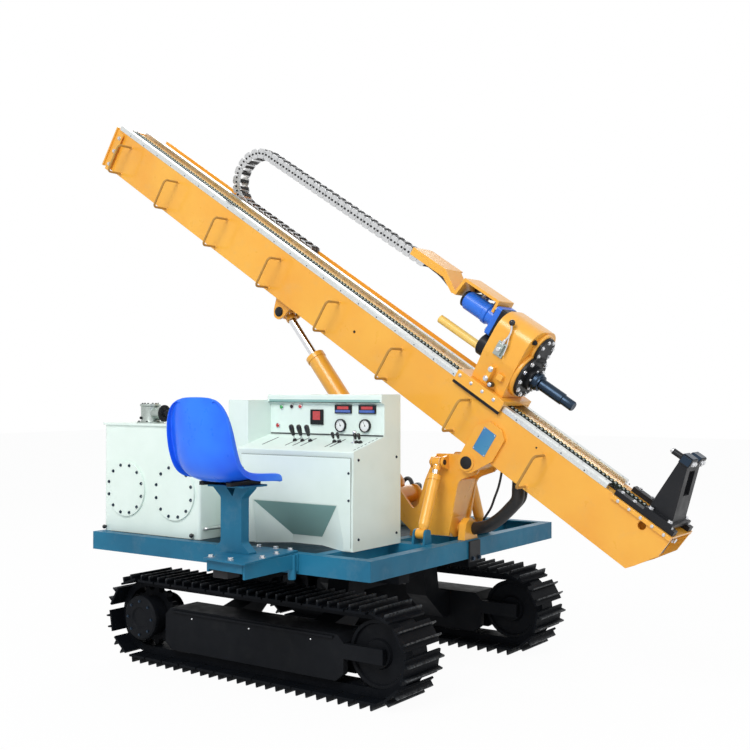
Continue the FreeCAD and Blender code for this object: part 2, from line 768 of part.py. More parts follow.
def seat_post():
    """Square post, flared at both ends."""
    body = new_body("seat_post")
    foot = d.deck_top + d.outrigger
    head = d.seat_pan - 42
    half, flare = d.post_width / 2, d.post_width / 2 + 36
    outline = [
        (-flare, foot), (-flare, foot + 12), (-half, foot + 90), (-half, head - 90),
        (-flare, head - 14), (-flare, head), (flare, head), (flare, head - 14),
        (half, head - 90), (half, foot + 90), (flare, foot + 12), (flare, foot),
    ]
    pad(body, "XZ", [outline], -d.post_depth / 2, d.post_depth / 2)
    plate = box(-flare - 18, flare + 18, -d.post_depth / 2 - 40, d.post_depth / 2 + 40)
    pad(body, "XY", [plate], head, head + 12)
    place(body, d.post_x, d.post_y, 0)


def seat_shell():
    """Moulded bucket: a pan that curves up into the back, turned-down front lip."""
    body = new_body("seat_shell")
    t = d.shell
    under = d.seat_pan - 30
    side = [
        (d.seat_front, under + 6), (d.seat_front - 6, under + 28, 8),
        (d.seat_front - 120, under, 60), (d.seat_back + 95, under, 90),
        (d.seat_back, d.seat_top - 60, 60), (d.seat_back + 8, d.seat_top),
        (d.seat_back + 8 + t, d.seat_top), (d.seat_back + t + 2, d.seat_top - 60, 54),
        (d.seat_back + 95 + t, under + t, 84),
        (d.seat_front - 120, under + t, 54), (d.seat_front, under + 30 + t, 8),
        (d.seat_front + 8, under + 8),
    ]
    half = d.seat_width / 2
    pad(body, "YZ", [side], -half, half)
    place(body, d.seat_x, 0, 0)


def power_pack():
    """Electric motor and pump block on the far side of the deck."""
    body = new_body("power_pack")
    profile = [(0, 0), (0, 120), (20, 150), (20, 175), (60, 175), (60, 160), (430, 160),
               (430, 175), (465, 175), (465, 120), (500, 120), (500, 60), (640, 60),
               (640, 0)]
    turn(body, "XZ", profile)
    for x in (90, 400):
        pad(body, "YZ", [box(-130, 130, -190, -120)], x, x + 60)
    place(body, -900, 600, d.deck_top + 190)


# Mast support, its roll shaft and cylinders

def support_outline():
    """Side plate: a horn forward to the mast's axis, a horn back to the cylinder."""
    x, z = d.pivot_x, d.pivot_z
    return [
        (d.support_rear, d.roll_z - 34), (820, d.roll_z - 34), (882, 1068, 60),
        (x + 40, z - 60, 30), (x + 60, z, 45), (x + 20, z + 54, 40), (x - 60, z + 42, 60),
        (741, 1208, 20), (669, 1060, 80), (624, 920, 60), (590, 896, 20),
        (d.luff_x + 30, d.luff_z + 62, 40), (d.luff_x - 56, d.luff_z + 30, 40),
        (d.luff_x - 40, d.luff_z - 50, 40),
    ]


def mast_support():
    body = new_body("mast_support")
    half = d.support_half
    plates = ((-half, d.support_plate - half), (half - d.support_plate, half))
    holes = [circle(d.pivot_x, d.pivot_z, d.pin_radius + d.pin_gap),
             circle(d.luff_x, d.luff_z, d.luff_pin + d.pin_gap)]
    for low, high in plates:
        pad(body, "XZ", [support_outline()] + holes, low, high)
    inner = half - d.support_plate
    base = [(-half, d.roll_z + 60), (-half, d.roll_z - 10), (-60, d.roll_z - 46, 30),
            (60, d.roll_z - 46, 30), (half, d.roll_z - 10), (half, d.roll_z + 60)]
    bore = circle(0, d.roll_z, d.shaft_radius + d.pin_gap)
    pad(body, "YZ", [base, bore], d.support_rear, d.support_front - 30)
    pad(body, "XZ", [[(808, d.roll_z + 40), (870, 1074), (882, 1068), (820, d.roll_z + 40)]],
        -inner, inner)
    sleeve = [circle(d.pivot_x, d.pivot_z, d.pin_radius + 20),
              circle(d.pivot_x, d.pivot_z, d.pin_radius + d.pin_gap)]
    reach = d.mast_width / 2 - 2
    pad(body, "XZ", sleeve, -reach, reach)
    eye = d.roll_eye_y
    for sign in (-1, 1):
        outline = [
            (sign * (half - 1), d.roll_eye_z - 45), (sign * eye, d.roll_eye_z - 27, 24),
            (sign * (eye + 27), d.roll_eye_z, 24), (sign * eye, d.roll_eye_z + 27, 24),
            (sign * (half - 1), d.roll_eye_z + 38),
        ]
        hole = circle(sign * eye, d.roll_eye_z, d.roll_pin)
        for low in (d.roll_x - 42, d.roll_x + 26):
            pad(body, "YZ", [outline, hole], low, low + 16)
    place(body)


def support_pins():
    """Axis pin, foot pin of the tilt cylinder, and the side cylinders' upper pins."""
    body = new_body("support_pins")
    axis = d.mast_width / 2 + d.cheek + 8
    foot = d.support_half + 6
    pad(body, "XZ", [circle(d.pivot_x, d.pivot_z, d.pin_radius)], -axis, axis)
    pad(body, "XZ", [circle(d.luff_x, d.luff_z, d.luff_pin)], -foot, foot)
    for sign in (-1, 1):
        pad(body, "YZ", [circle(sign * d.roll_eye_y, d.roll_eye_z, d.roll_pin - d.pin_gap)],
            d.roll_x - 46, d.roll_x + 46)
    place(body)


def roll_bearings():
    """Two blocks on the deck with the shaft that the support rolls on."""
    body = new_body("roll_bearings")
    block = [(-70, d.deck_top), (70, d.deck_top), (52, d.roll_z + 30, 30),
             (0, d.roll_z + 66, 40), (-52, d.roll_z + 30, 30)]
    for low, high in ((d.support_rear - 45, d.support_rear - 3),
                      (d.support_front, d.support_front + 42)):
        pad(body, "YZ", [block], low, high)
    pad(body, "YZ", [circle(0, d.roll_z, d.shaft_radius)], d.support_rear - 3,
        d.support_front)
    place(body)


def roll_feet():
    """Forked feet on the deck for the two side cylinders."""
    body = new_body("roll_feet")
    for side, sign in SIDES:
        y = sign * d.roll_foot_y
        ear = [(y - 38, d.deck_top), (y + 38, d.deck_top), (y + 24, d.roll_foot_z + 24, 22),
               (y - 24, d.roll_foot_z + 24, 22)]
        for low in (d.roll_x - 40, d.roll_x + 28):
            pad(body, "YZ", [ear], low, low + 12)
        pad(body, "YZ", [circle(y, d.roll_foot_z, d.roll_pin)], d.roll_x - 28,
            d.roll_x + 28)
    place(body)


def cylinder_barrel(label, pin, boss, width, bore, length, neck, rod, hollow):
    """Barrel drawn along X from the eye at its foot; the pin lies along Y."""
    body = new_body(label)
    pad(body, "XZ", [circle(0, 0, boss), circle(0, 0, pin + d.pin_gap)], -width, width)
    inside = rod + d.pin_gap
    profile = [(boss * 0.8, 0), (boss * 0.8, neck), (boss + 18, bore),
               (length - 30, bore), (length - 30, bore + 4), (length, bore + 4),
               (length, inside), (length - hollow, inside), (length - hollow, 0)]
    turn(body, "XZ", profile)
    return body


def cylinder_rod(label, pin, boss, width, radius, reach, tail):
    """Rod drawn along X, with its eye at the origin and the rod running back."""
    body = new_body(label)
    pad(body, "XZ", [circle(0, 0, boss)] + ([circle(0, 0, pin)] if pin else []),
        -width, width)
    profile = [(-tail, 0), (-tail, radius), (-reach, radius), (-reach, boss * 0.75),
               (boss * -0.7, boss * 0.75), (boss * -0.7, 0)]
    turn(body, "XZ", profile)
    return body


def mast_point(s, n):
    """A place on the mast, in the machine's X and Z."""
    tilt = math.radians(d.mast_tilt.value)
    s, n = size(s).value, size(n).value
    return (d.pivot_x.value + s * math.cos(tilt) + n * math.sin(tilt),
            d.pivot_z.value - s * math.sin(tilt) + n * math.cos(tilt))


def tilt_cylinder():
    foot = V(d.luff_x.value, 0, d.luff_z.value)
    eye_x, eye_z = mast_point(d.eye_s, d.eye_n)
    eye = V(eye_x, 0, eye_z)
    turned = along(foot, eye)
    inner = d.support_half - d.support_plate - 1.5
    barrel = cylinder_barrel("tilt_barrel", d.luff_pin, d.luff_bore - 5, inner,
                             d.luff_bore, d.luff_length, d.luff_bore - 15, d.luff_rod,
                             d.luff_hollow)
    place(barrel, foot.x, 0, foot.z, turned)
    length = (eye - foot).Length
    rod = cylinder_rod("tilt_rod", None, d.luff_eye, 30, d.luff_rod, 62,
                       length - d.luff_length + d.luff_tail)
    pad(rod, "XZ", [circle(0, 0, d.luff_pin)], -57, 57)
    place(rod, eye.x, 0, eye.z, turned)


def side_cylinders():
    foot = V(0, d.roll_foot_y.value, d.roll_foot_z.value)
    eye = V(0, d.roll_eye_y.value, d.roll_eye_z.value)
    length = (eye - foot).Length
    shell = length - 74
    for side, sign in SIDES:
        low = V(0, sign * foot.y, foot.z)
        high = V(0, sign * eye.y, eye.z)
        # the pins lie along the machine, so the body's Y axis turns to X
        axis = (high - low).normalize()
        across = V(1, 0, 0)
        turned = FreeCAD.Rotation(axis, across, axis.cross(across), "XYZ")
        barrel = cylinder_barrel(f"roll_barrel_{side}", d.roll_pin, d.roll_boss,
                                 26, d.roll_bore, shell, d.roll_bore - 8, d.roll_rod,
                                 d.roll_hollow)
        place(barrel, d.roll_x, low.y, low.z, turned)
        rod = cylinder_rod(f"roll_rod_{side}", d.roll_pin + 2, d.roll_boss, 24,
                           d.roll_rod, 46, length - shell + d.roll_tail)
        place(rod, d.roll_x, high.y, high.z, turned)


# Mast

def mast_top():
    return d.mast_under + d.mast_depth


def mast_beam():
    """Hollow beam, cut back under its lower end and slotted for the cylinder."""
    body = new_body("mast_beam")
    half, wall = d.mast_width / 2, d.mast_wall
    under, top = d.mast_under, mast_top()
    side = [
        (d.mast_rear, under), (d.mast_foot - 110, under), (d.mast_foot - 80, under + 40),
        (d.mast_foot - 10, under + 150), (d.mast_foot, top), (d.mast_rear, top),
    ]
    pad(body, "XZ", [side], -half, half)
    hollow = box(d.mast_rear + wall, d.mast_foot + 20, under + wall, top - wall)
    pocket(body, "XZ", [hollow], wall - half, half - wall)
    slot = box(d.slot_rear, d.slot_front, -d.slot_width / 2, d.slot_width / 2)
    pocket(body, "XY", [slot], under - 1, under + wall + 1)
    pocket(body, "XZ", [circle(d.mast_foot - 154, top - 44, 22)], -half - 1, wall + 1 - half)
    on_mast(body)


def mast_end():
    """Bolted plate on the rear end."""
    body = new_body("mast_end_plate")
    half = d.mast_width / 2
    rear = d.mast_rear
    pad(body, "YZ", [box(-half - 8, half + 8, d.mast_under - 6, mast_top() + 6)], rear - 12,
        rear)
    bolts = [circle(y, d.mast_under + rise, 11) for y in (-half + 30, half - 30)
             for rise in (40, 135, 230)]
    pad(body, "YZ", bolts, rear - 24, rear - 12)
    on_mast(body)


def mast_slides():
    """Two slide rails on top, bevelled on their outer edge."""
    body = new_body("mast_slides")
    half = d.mast_width / 2 + d.slide_proud
    top = mast_top()
    for sign in (-1, 1):
        rail = [(sign * (half - d.slide_width), top), (sign * half, top),
                (sign * half, top + d.slide_height - 8),
                (sign * (half - 8), top + d.slide_height),
                (sign * (half - d.slide_width), top + d.slide_height)]
        pad(body, "YZ", [rail], d.mast_rear + 20, d.mast_foot - 400)
    on_mast(body)


def feed_chain():
    """Feed chain along the top, one notch to each link."""
    body = document.addObject("Part::Feature", "FeedChain")
    body.Label = "feed_chain"
    start, stop = d.mast_rear.value + 60, d.mast_foot.value - 60
    top = mast_top().value
    pitch = d.feed_pitch.value
    count = int((stop - start) / pitch)
    corners = [V(start, 0, top), V(start, 0, top + 22)]
    for i in range(1, count):
        x = start + i * pitch
        corners += [V(x - 7, 0, top + 22), V(x - 3, 0, top + 10), V(x + 3, 0, top + 10),
                    V(x + 7, 0, top + 22)]
    corners += [V(start + count * pitch, 0, top + 22), V(start + count * pitch, 0, top)]
    chain = Part.Face(Part.makePolygon(corners + corners[:1])).extrude(V(0, 34, 0))
    chain.translate(V(0, -62, 0))
    body.Shape = chain
    on_mast(body)
    bodies.append(body)


def mast_brackets():
    """Plates on the mast's sides down to its axis, and ears for the tilt cylinder."""
    body = new_body("mast_brackets")
    half = d.mast_width / 2
    outline = [
        (-58, 200), (-58, -16, 40), (-8, -58, 44), (46, -40, 20), (124, 92), (124, 227),
        (81, 262), (0, 262),
    ]
    hole = circle(0, 0, d.pin_radius + d.pin_gap)
    for low in (-half - d.cheek, half):
        pad(body, "XZ", [outline, hole], low, low + d.cheek)
    s, n = d.eye_s, d.eye_n
    ear = [(s - 70, d.mast_under), (s - 44, n - 10, 30), (s - 20, n - 46, 24),
           (s + 20, n - 46, 24), (s + 44, n - 10, 30), (s + 70, d.mast_under)]
    gap = d.slot_width / 2
    for low in (-gap - d.cheek, gap):
        pad(body, "XZ", [ear, circle(s, n, d.luff_pin + 1)], low, low + d.cheek)
    on_mast(body)


def rung_shape():
    """Bar bent out from the mast's side, down and back in."""
    half = d.mast_width.value / 2
    out = -half - d.rung_reach.value
    rise, drop, bend = d.rung_rise.value, d.rung_drop.value, 24
    c = bend * (1 - math.sqrt(0.5))
    points = [V(0, -half, rise), V(0, out + bend, rise), V(0, out, rise - bend),
              V(0, out, drop + bend), V(0, out + bend, drop), V(0, -half, drop)]
    upper = V(0, out + c, rise - c)
    lower = V(0, out + c, drop + c)
    path = Part.Wire([
        Part.LineSegment(points[0], points[1]).toShape(),
        Part.Arc(points[1], upper, points[2]).toShape(),
        Part.LineSegment(points[2], points[3]).toShape(),
        Part.Arc(points[3], lower, points[4]).toShape(),
        Part.LineSegment(points[4], points[5]).toShape(),
    ])
    ring = Part.Wire(Part.makeCircle(d.rung_bar.value, points[0], V(0, 1, 0)))
    return path.makePipeShell([ring], True, False)


def mast_rungs():
    body = document.addObject("Part::Feature", "Rungs")
    body.Label = "mast_rungs"
    one = rung_shape()
    bars = []
    for i in range(int(d.rung_count.value)):
        bar = one.copy()
        bar.translate(V(d.rung_first.value + i * d.rung_pitch.value, 0, 0))
        bars.append(bar)
    body.Shape = Part.makeCompound(bars)
    on_mast(body)
    bodies.append(body)


def chain_trough():
    """Folded channel on the far side that the hose chain lies in."""
    body = new_body("chain_trough")
    w = d.trough_wall
    low = mast_top() - d.trough_drop
    high = low + d.trough_height
    near, far = d.chain_inner - 6, d.chain_inner + d.chain_width + 8
    channel = [(d.mast_width / 2, low), (far, low), (far, high), (far - w, high),
               (far - w, low + w), (near + w, low + w), (near + w, high - 16),
               (near, high - 16), (near, low + w), (d.mast_width / 2, low + w)]
    pad(body, "YZ", [channel], d.mast_rear + 60, d.mast_foot - 1500)
    on_mast(body)


def hose_chain():
    """Hose chain: lower run in the trough, half-round bend, free run to the head."""
    body = new_body("hose_chain")
    height = d.chain_height
    top = d.chain_top
    low = mast_top() - d.trough_drop + d.trough_wall + d.fit_gap
    outer = (top - low) / 2
    body_x, head = d.chain_rear, d.chain_head
    lower_end = body_x + 640
    outline = [
        (head, top), (body_x - outer, top, outer - 0.01), (body_x - outer, low, outer - 0.01),
        (lower_end, low), (lower_end, low + height),
        (body_x - outer + height, low + height, outer - height - 0.01),
        (body_x - outer + height, top - height, outer - height - 0.01), (head, top - height),
    ]
    pad(body, "XZ", [outline], d.chain_inner, d.chain_inner + d.chain_width)
    on_mast(body)


# Power head

def carriage():
    """Saddle on the slide rails: top plate and two side plates."""
    body = new_body("carriage")
    half = d.carriage_half
    top = mast_top() + d.slide_height
    section = [
        (-half, top + 26), (-half, top + 26 - d.skirt_depth),
        (d.skirt - half, top + 26 - d.skirt_depth), (d.skirt - half, top + d.fit_gap),
        (half - d.skirt, top + d.fit_gap), (half - d.skirt, top + 26 - d.skirt_depth),
        (half, top + 26 - d.skirt_depth), (half, top + 26),
    ]
    pad(body, "YZ", [section], d.slide_rear, d.slide_front)
    on_mast(body)


def wear_strips():
    """Dark strips under the carriage's side plates."""
    body = new_body("wear_strips")
    half = d.carriage_half
    top = mast_top() + d.slide_height + 26 - d.skirt_depth
    for y in (-half + 1, half - 11):
        pad(body, "YZ", [box(y, y + 10, top - 16, top)], d.slide_rear, d.slide_front)
    on_mast(body)


def box_section(lower, upper, foot_half, foot_n):
    """Gearbox seen from the front: round below and above, flat foot."""
    rise = d.upper_n - d.spindle_n
    return [
        (-foot_half, foot_n), (foot_half, foot_n),
        (lower, d.spindle_n - 40, 40), (lower, d.spindle_n + 50, 70),
        (upper, d.spindle_n + rise - 10, 50), (upper, d.upper_n + upper, upper * 0.9),
        (-upper, d.upper_n + upper, upper * 0.9), (-upper, d.spindle_n + rise - 10, 50),
        (-lower, d.spindle_n + 50, 70), (-lower, d.spindle_n - 40, 40),
    ]


def gearbox():
    body = new_body("gearbox")
    foot = mast_top() + d.slide_height + 26
    pad(body, "YZ", [box_section(d.box_radius, d.box_upper, 112, foot)], d.box_rear,
        d.box_front)
    pad(body, "YZ", [box_section(d.box_radius - 16, d.box_upper - 14, 90, foot + 14)],
        d.box_front, d.box_front + 44)
    on_mast(body)


def covers():
    """Black bolted covers on the front: a large one and a small one above."""
    body = new_body("gearbox_covers")
    low = d.box_front + 44
    pad(body, "YZ", [circle(0, d.spindle_n, 108)], low, low + 16)
    pad(body, "YZ", [circle(0, d.upper_n + 8, 52)], low, low + 12)
    pad(body, "YZ", [circle(0, d.spindle_n, 64)], low + 16, low + 40)
    bolts = []
    for i in range(8):
        angle = math.radians(45 * i + 22.5)
        bolts.append(circle(92 * math.cos(angle), d.spindle_n + 92 * math.sin(angle), 7))
    pad(body, "YZ", bolts, low + 16, low + 23)
    pad(body, "YZ", [circle(0, d.spindle_n, 62)], d.box_rear - 60, d.box_rear)
    r = d.motor_radius + 16
    pad(body, "YZ", [box(-r, r, d.upper_n - r, d.upper_n + r)], d.box_rear - 30, d.box_rear)
    on_mast(body)


def head_motor():
    """Hydraulic motor with a square flange, on the upper shaft."""
    body = new_body("head_motor")
    n, r = d.upper_n, d.motor_radius
    rear = d.box_rear
    flange = box(-r - 12, r + 12, n - r - 12, n + r + 12)
    pad(body, "YZ", [flange], rear - 52, rear - 30)
    pad(body, "YZ", [circle(0, n, r)], d.motor_end + 14, rear - 52)
    pad(body, "YZ", [circle(0, n, r - 14)], d.motor_end, d.motor_end + 14)
    on_mast(body)


def head_guard():
    """Sheet bent over the motor, with an arm back to the hose chain."""
    body = new_body("head_guard")
    t = 8
    over = d.upper_n + d.motor_radius + 34
    chain = d.chain_top + t
    strip = [
        (d.chain_head - 60, chain), (-728, chain), (-604, chain - 46), (-584, over + t),
        (-322, over + t), (-314, over - 22), (-322, over - 22), (-330, over),
        (-577, over), (-598, chain - 62), (-733, chain - t), (d.chain_head - 60, chain - t),
    ]
    pad(body, "XZ", [strip], -60, d.chain_inner + d.chain_width)
    pad(body, "XZ", [box(-320, d.box_rear - 30, over - 22, over - 14)], -60, 60)
    on_mast(body)


def shift_lever():
    """Gear lever on the near side of the gearbox."""
    body = new_body("shift_lever")
    face = -d.box_radius
    n = d.spindle_n + 60
    pad(body, "XZ", [box(-170, -140, n - 30, n + 20)], face - 18, face)
    pad(body, "XZ", [box(-160, -150, n + 20, n + 90)], face - 14, face - 6)
    pad(body, "XZ", [circle(-155, n + 100, 14)], face - 24, face + 2)
    on_mast(body)


def rear_tube():
    """Tube that guards the drill rod behind the spindle."""
    body = new_body("rear_tube")
    n = d.spindle_n
    pad(body, "YZ", [circle(0, n, 24), circle(0, n, 17)], d.box_rear - 300,
        d.box_rear - 60)
    on_mast(body)


def spindle():
    """Turning spindle: collar, tube and stepped nose."""
    body = new_body("spindle")
    start = d.box_front + 44 + 40 + 1
    profile = [
        (start, 0), (start, 46), (start + 26, 46), (start + 34, d.tube_radius),
        (d.spindle_tip - 62, d.tube_radius), (d.spindle_tip - 58, d.tube_radius - 6),
        (d.spindle_tip - 6, d.tube_radius - 6), (d.spindle_tip, d.tube_radius - 10),
        (d.spindle_tip, 0),
    ]
    turn(body, "XZ", profile)
    x, z = mast_point(0, d.spindle_n)
    place(body, x, 0, z, FreeCAD.Rotation(V(0, 1, 0), d.mast_tilt.value))


def rod_clamp():
    """Tapered post at the lower end with a notched head for the drill rod."""
    body = new_body("rod_clamp")
    top = mast_top()
    half = d.mast_width / 2
    s = d.mast_foot - 110
    for sign in (-1, 1):
        pad(body, "XY", [[(s - 270, sign * (half - 46)), (s + 90, sign * (half - 46)),
                          (s + 90, sign * (half + 2)), (s - 270, sign * (half + 2))]],
            top, top + d.clamp_foot)
    foot = top + d.clamp_foot
    pad(body, "XY", [box(s - 10, s + 60, -half, half)], foot, foot + 18)
    notch = d.tube_radius + 7
    post = [(-84, foot + 18), (84, foot + 18), (62, d.spindle_n - 58),
            (58, d.spindle_n + 66),
            (notch, d.spindle_n + 66), (notch, d.spindle_n - notch, notch - 1),
            (-notch, d.spindle_n - notch, notch - 1), (-notch, d.spindle_n + 66),
            (-58, d.spindle_n + 66), (-62, d.spindle_n - 58)]
    pad(body, "YZ", [post], s, s + 50)
    on_mast(body)


def build():
    tracks()
    for side, sign in SIDES:
        side_beam(side, sign)
        final_drive(side, sign)
        idler(side, sign)
        rollers(side, sign)
    undercarriage()
    deck_frame()
    deck_plate()
    tank()
    tank_covers()
    filler()
    console()
    console_door()
    instrument_panel()
    levers()
    side_cabinet()
    seat_outrigger()
    seat_post()
    seat_shell()
    power_pack()
    mast_support()
    support_pins()
    roll_bearings()
    roll_feet()
    tilt_cylinder()
    side_cylinders()
    mast_beam()
    mast_end()
    mast_slides()
    feed_chain()
    mast_brackets()
    mast_rungs()
    chain_trough()
    hose_chain()
    carriage()
    wear_strips()
    gearbox()
    covers()
    head_motor()
    head_guard()
    shift_lever()
    rear_tube()
    spindle()
    rod_clamp()


def check():
    """No object failed, and every piece has a sound shape."""
    for thing in document.Objects:
        failed = [state for state in thing.State if state in ("Invalid", "Error")]
        if failed:
            raise ValueError(f"{thing.Label} of {thing.InList} is {failed}")
    for body in bodies:
        if body.Shape.isNull() or not body.Shape.isValid():
            raise ValueError(f"{body.Label} has no sound shape")


def export():
    os.makedirs("parts", exist_ok=True)
    whole = FreeCAD.BoundBox()
    for body in bodies:
        body.Shape.exportStep(f"parts/{body.Label}.step")
        whole.add(body.Shape.BoundBox)
    middle = whole.Center
    print(f"{len(bodies)} pieces, {whole.XLength:.1f} x {whole.YLength:.1f} x "
          f"{whole.ZLength:.1f} mm, middle {middle.x:.2f} {middle.y:.2f}, "
          f"lowest {whole.ZMin:.2f}")


build()
document.recompute()
check()
export()
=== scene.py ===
import math

import bmesh
import bpy
from mathutils import Matrix, Vector

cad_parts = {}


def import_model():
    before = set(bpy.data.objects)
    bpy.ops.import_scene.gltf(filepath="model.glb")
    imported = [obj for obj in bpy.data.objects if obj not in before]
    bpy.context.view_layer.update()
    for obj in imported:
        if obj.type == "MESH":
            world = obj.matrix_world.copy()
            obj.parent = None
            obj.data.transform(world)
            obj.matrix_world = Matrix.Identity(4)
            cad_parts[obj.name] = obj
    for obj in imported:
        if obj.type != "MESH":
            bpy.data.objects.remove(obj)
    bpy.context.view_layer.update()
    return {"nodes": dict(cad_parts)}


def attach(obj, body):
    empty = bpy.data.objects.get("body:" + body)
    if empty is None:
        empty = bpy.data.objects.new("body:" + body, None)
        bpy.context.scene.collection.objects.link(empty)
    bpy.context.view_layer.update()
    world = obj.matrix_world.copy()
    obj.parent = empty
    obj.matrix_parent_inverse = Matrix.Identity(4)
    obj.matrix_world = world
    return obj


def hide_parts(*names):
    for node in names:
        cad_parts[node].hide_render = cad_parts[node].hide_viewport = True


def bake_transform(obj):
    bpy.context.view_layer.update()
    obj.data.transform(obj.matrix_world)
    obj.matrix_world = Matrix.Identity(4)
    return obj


# Looks of the crawler drilling rig, in metres. X runs forward to the drilling end,
# Y to the machine's left and Z up, from the middle of the machine at ground level.

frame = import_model()

# The drawings measure from the middle of the tracks, on the ground.
MACHINE = Matrix.Translation((-0.11681, 0.21953, 0))
PIVOT = (0.957, 0, 1.168)
TILT = math.radians(32.68)
# X along the mast to its lower end, Z out of its top, from the axis it tilts on
MAST = MACHINE @ Matrix.Translation(PIVOT) @ Matrix.Rotation(TILT, 4, "Y")


# Materials

class Tree:
    """A material's node tree, with short calls for the nodes that are used here."""

    def __init__(self, name):
        self.material = bpy.data.materials.new(name)
        self.material.use_nodes = True
        self.nodes = self.material.node_tree.nodes
        self.links = self.material.node_tree.links
        self.nodes.clear()
        self.output = self.add("ShaderNodeOutputMaterial")
        self.shader = self.add("ShaderNodeBsdfPrincipled")
        self.join(self.shader.outputs["BSDF"], self.output.inputs["Surface"])
        self.place = self.add("ShaderNodeTexCoord").outputs["Object"]

    def add(self, kind, **settings):
        node = self.nodes.new(kind)
        for key, value in settings.items():
            setattr(node, key, value)
        return node

    def join(self, start, end):
        self.links.new(start, end)

    def give(self, socket, value):
        """Sets a socket to a number or colour, or joins it to an output."""
        if isinstance(value, tuple):
            socket.default_value = (*value, 1.0)
        elif isinstance(value, (int, float)):
            socket.default_value = value
        else:
            self.join(value, socket)

    def look(self, **values):
        """Gives the shader's inputs; an underscore stands for a space."""
        for key, value in values.items():
            self.give(self.shader.inputs[key.replace("_", " ")], value)

    def noise(self, scale, detail=4.0, roughness=0.55, stretch=None):
        place = self.place
        if stretch:
            mapping = self.add("ShaderNodeMapping")
            mapping.inputs["Scale"].default_value = stretch
            self.join(self.place, mapping.inputs["Vector"])
            place = mapping.outputs["Vector"]
        node = self.add("ShaderNodeTexNoise")
        for key, value in (("Scale", scale), ("Detail", detail), ("Roughness", roughness),
                           ("Vector", place)):
            self.give(node.inputs[key], value)
        return node.outputs["Fac"]

    def spread(self, value, low, high, to_low=0.0, to_high=1.0):
        node = self.add("ShaderNodeMapRange")
        for key, given in (("From Min", low), ("From Max", high), ("To Min", to_low),
                           ("To Max", to_high), ("Value", value)):
            self.give(node.inputs[key], given)
        return node.outputs["Result"]

    def maths(self, kind, first, second=None):
        node = self.add("ShaderNodeMath", operation=kind)
        for socket, value in zip(node.inputs, (first, second)):
            if value is not None:
                self.give(socket, value)
        return node.outputs["Value"]

    def mix(self, factor, first, second):
        node = self.add("ShaderNodeMix", data_type="RGBA")
        for key, value in (("Factor", factor), ("A", first), ("B", second)):
            self.give(node.inputs[key], value)
        return node.outputs["Result"]

    def relief(self, height, distance, strength=1.0, edge=0.0):
        """Bump from a height, on edges that catch the light as if rounded."""
        bump = self.add("ShaderNodeBump")
        bump.inputs["Distance"].default_value = distance
        bump.inputs["Strength"].default_value = strength
        self.join(height, bump.inputs["Height"])
        if edge:
            bevel = self.add("ShaderNodeBevel", samples=4)
            bevel.inputs["Radius"].default_value = edge
            self.join(bevel.outputs["Normal"], bump.inputs["Normal"])
        self.join(bump.outputs["Normal"], self.shader.inputs["Normal"])


def enamel(name, colour, shade, roughness=0.32, coat=0.4, dirt=0.25, shine=0.4):
    """Sprayed paint: slow changes of tone, dusty patches and a fine orange peel."""
    t = Tree(name)
    tone = t.mix(t.spread(t.noise(2.2), 0.35, 0.7), colour, shade)
    dust = tuple(0.6 * c + 0.4 * g for c, g in zip(colour, (0.35, 0.32, 0.27)))
    patch = t.maths("MULTIPLY", t.spread(t.noise(9.0, 8.0, 0.7), 0.55, 0.75), dirt)
    rough = t.spread(t.noise(14.0, 6.0), 0.3, 0.7, roughness - 0.06, roughness + 0.12)
    t.look(Base_Color=t.mix(patch, tone, dust), Roughness=rough, Coat_Weight=coat,
           Coat_Roughness=0.12, Specular_IOR_Level=shine)
    t.relief(t.noise(260.0, 2.0), 0.00025, 0.35, 0.002)
    return t.material


def metal(name, colour, roughness, grain=(1, 1, 1), scale=180.0, edge=0.001, depth=0.0002):
    """Bare metal with fine machining or casting marks."""
    t = Tree(name)
    marks = t.noise(scale, 4.0, 0.6, grain)
    dark = tuple(0.72 * c for c in colour)
    rough = t.spread(t.noise(30.0, 5.0), 0.3, 0.7, max(0.04, roughness - 0.05), roughness + 0.1)
    t.look(Base_Color=t.mix(t.spread(marks, 0.35, 0.7), colour, dark), Metallic=1.0,
           Roughness=rough)
    t.relief(marks, depth, 0.4, edge)
    return t.material


def plastic(name, colour, shade, roughness=0.28, coat=0.0):
    """Moulded plastic or rubber with a fine grain."""
    t = Tree(name)
    tone = t.mix(t.spread(t.noise(3.0, 3.0), 0.35, 0.7), colour, shade)
    rough = t.spread(t.noise(20.0, 5.0), 0.3, 0.7, roughness - 0.04, roughness + 0.08)
    t.look(Base_Color=tone, Roughness=rough, Coat_Weight=coat, Specular_IOR_Level=0.3)
    t.relief(t.noise(500.0, 2.0), 0.00015, 0.4)
    return t.material


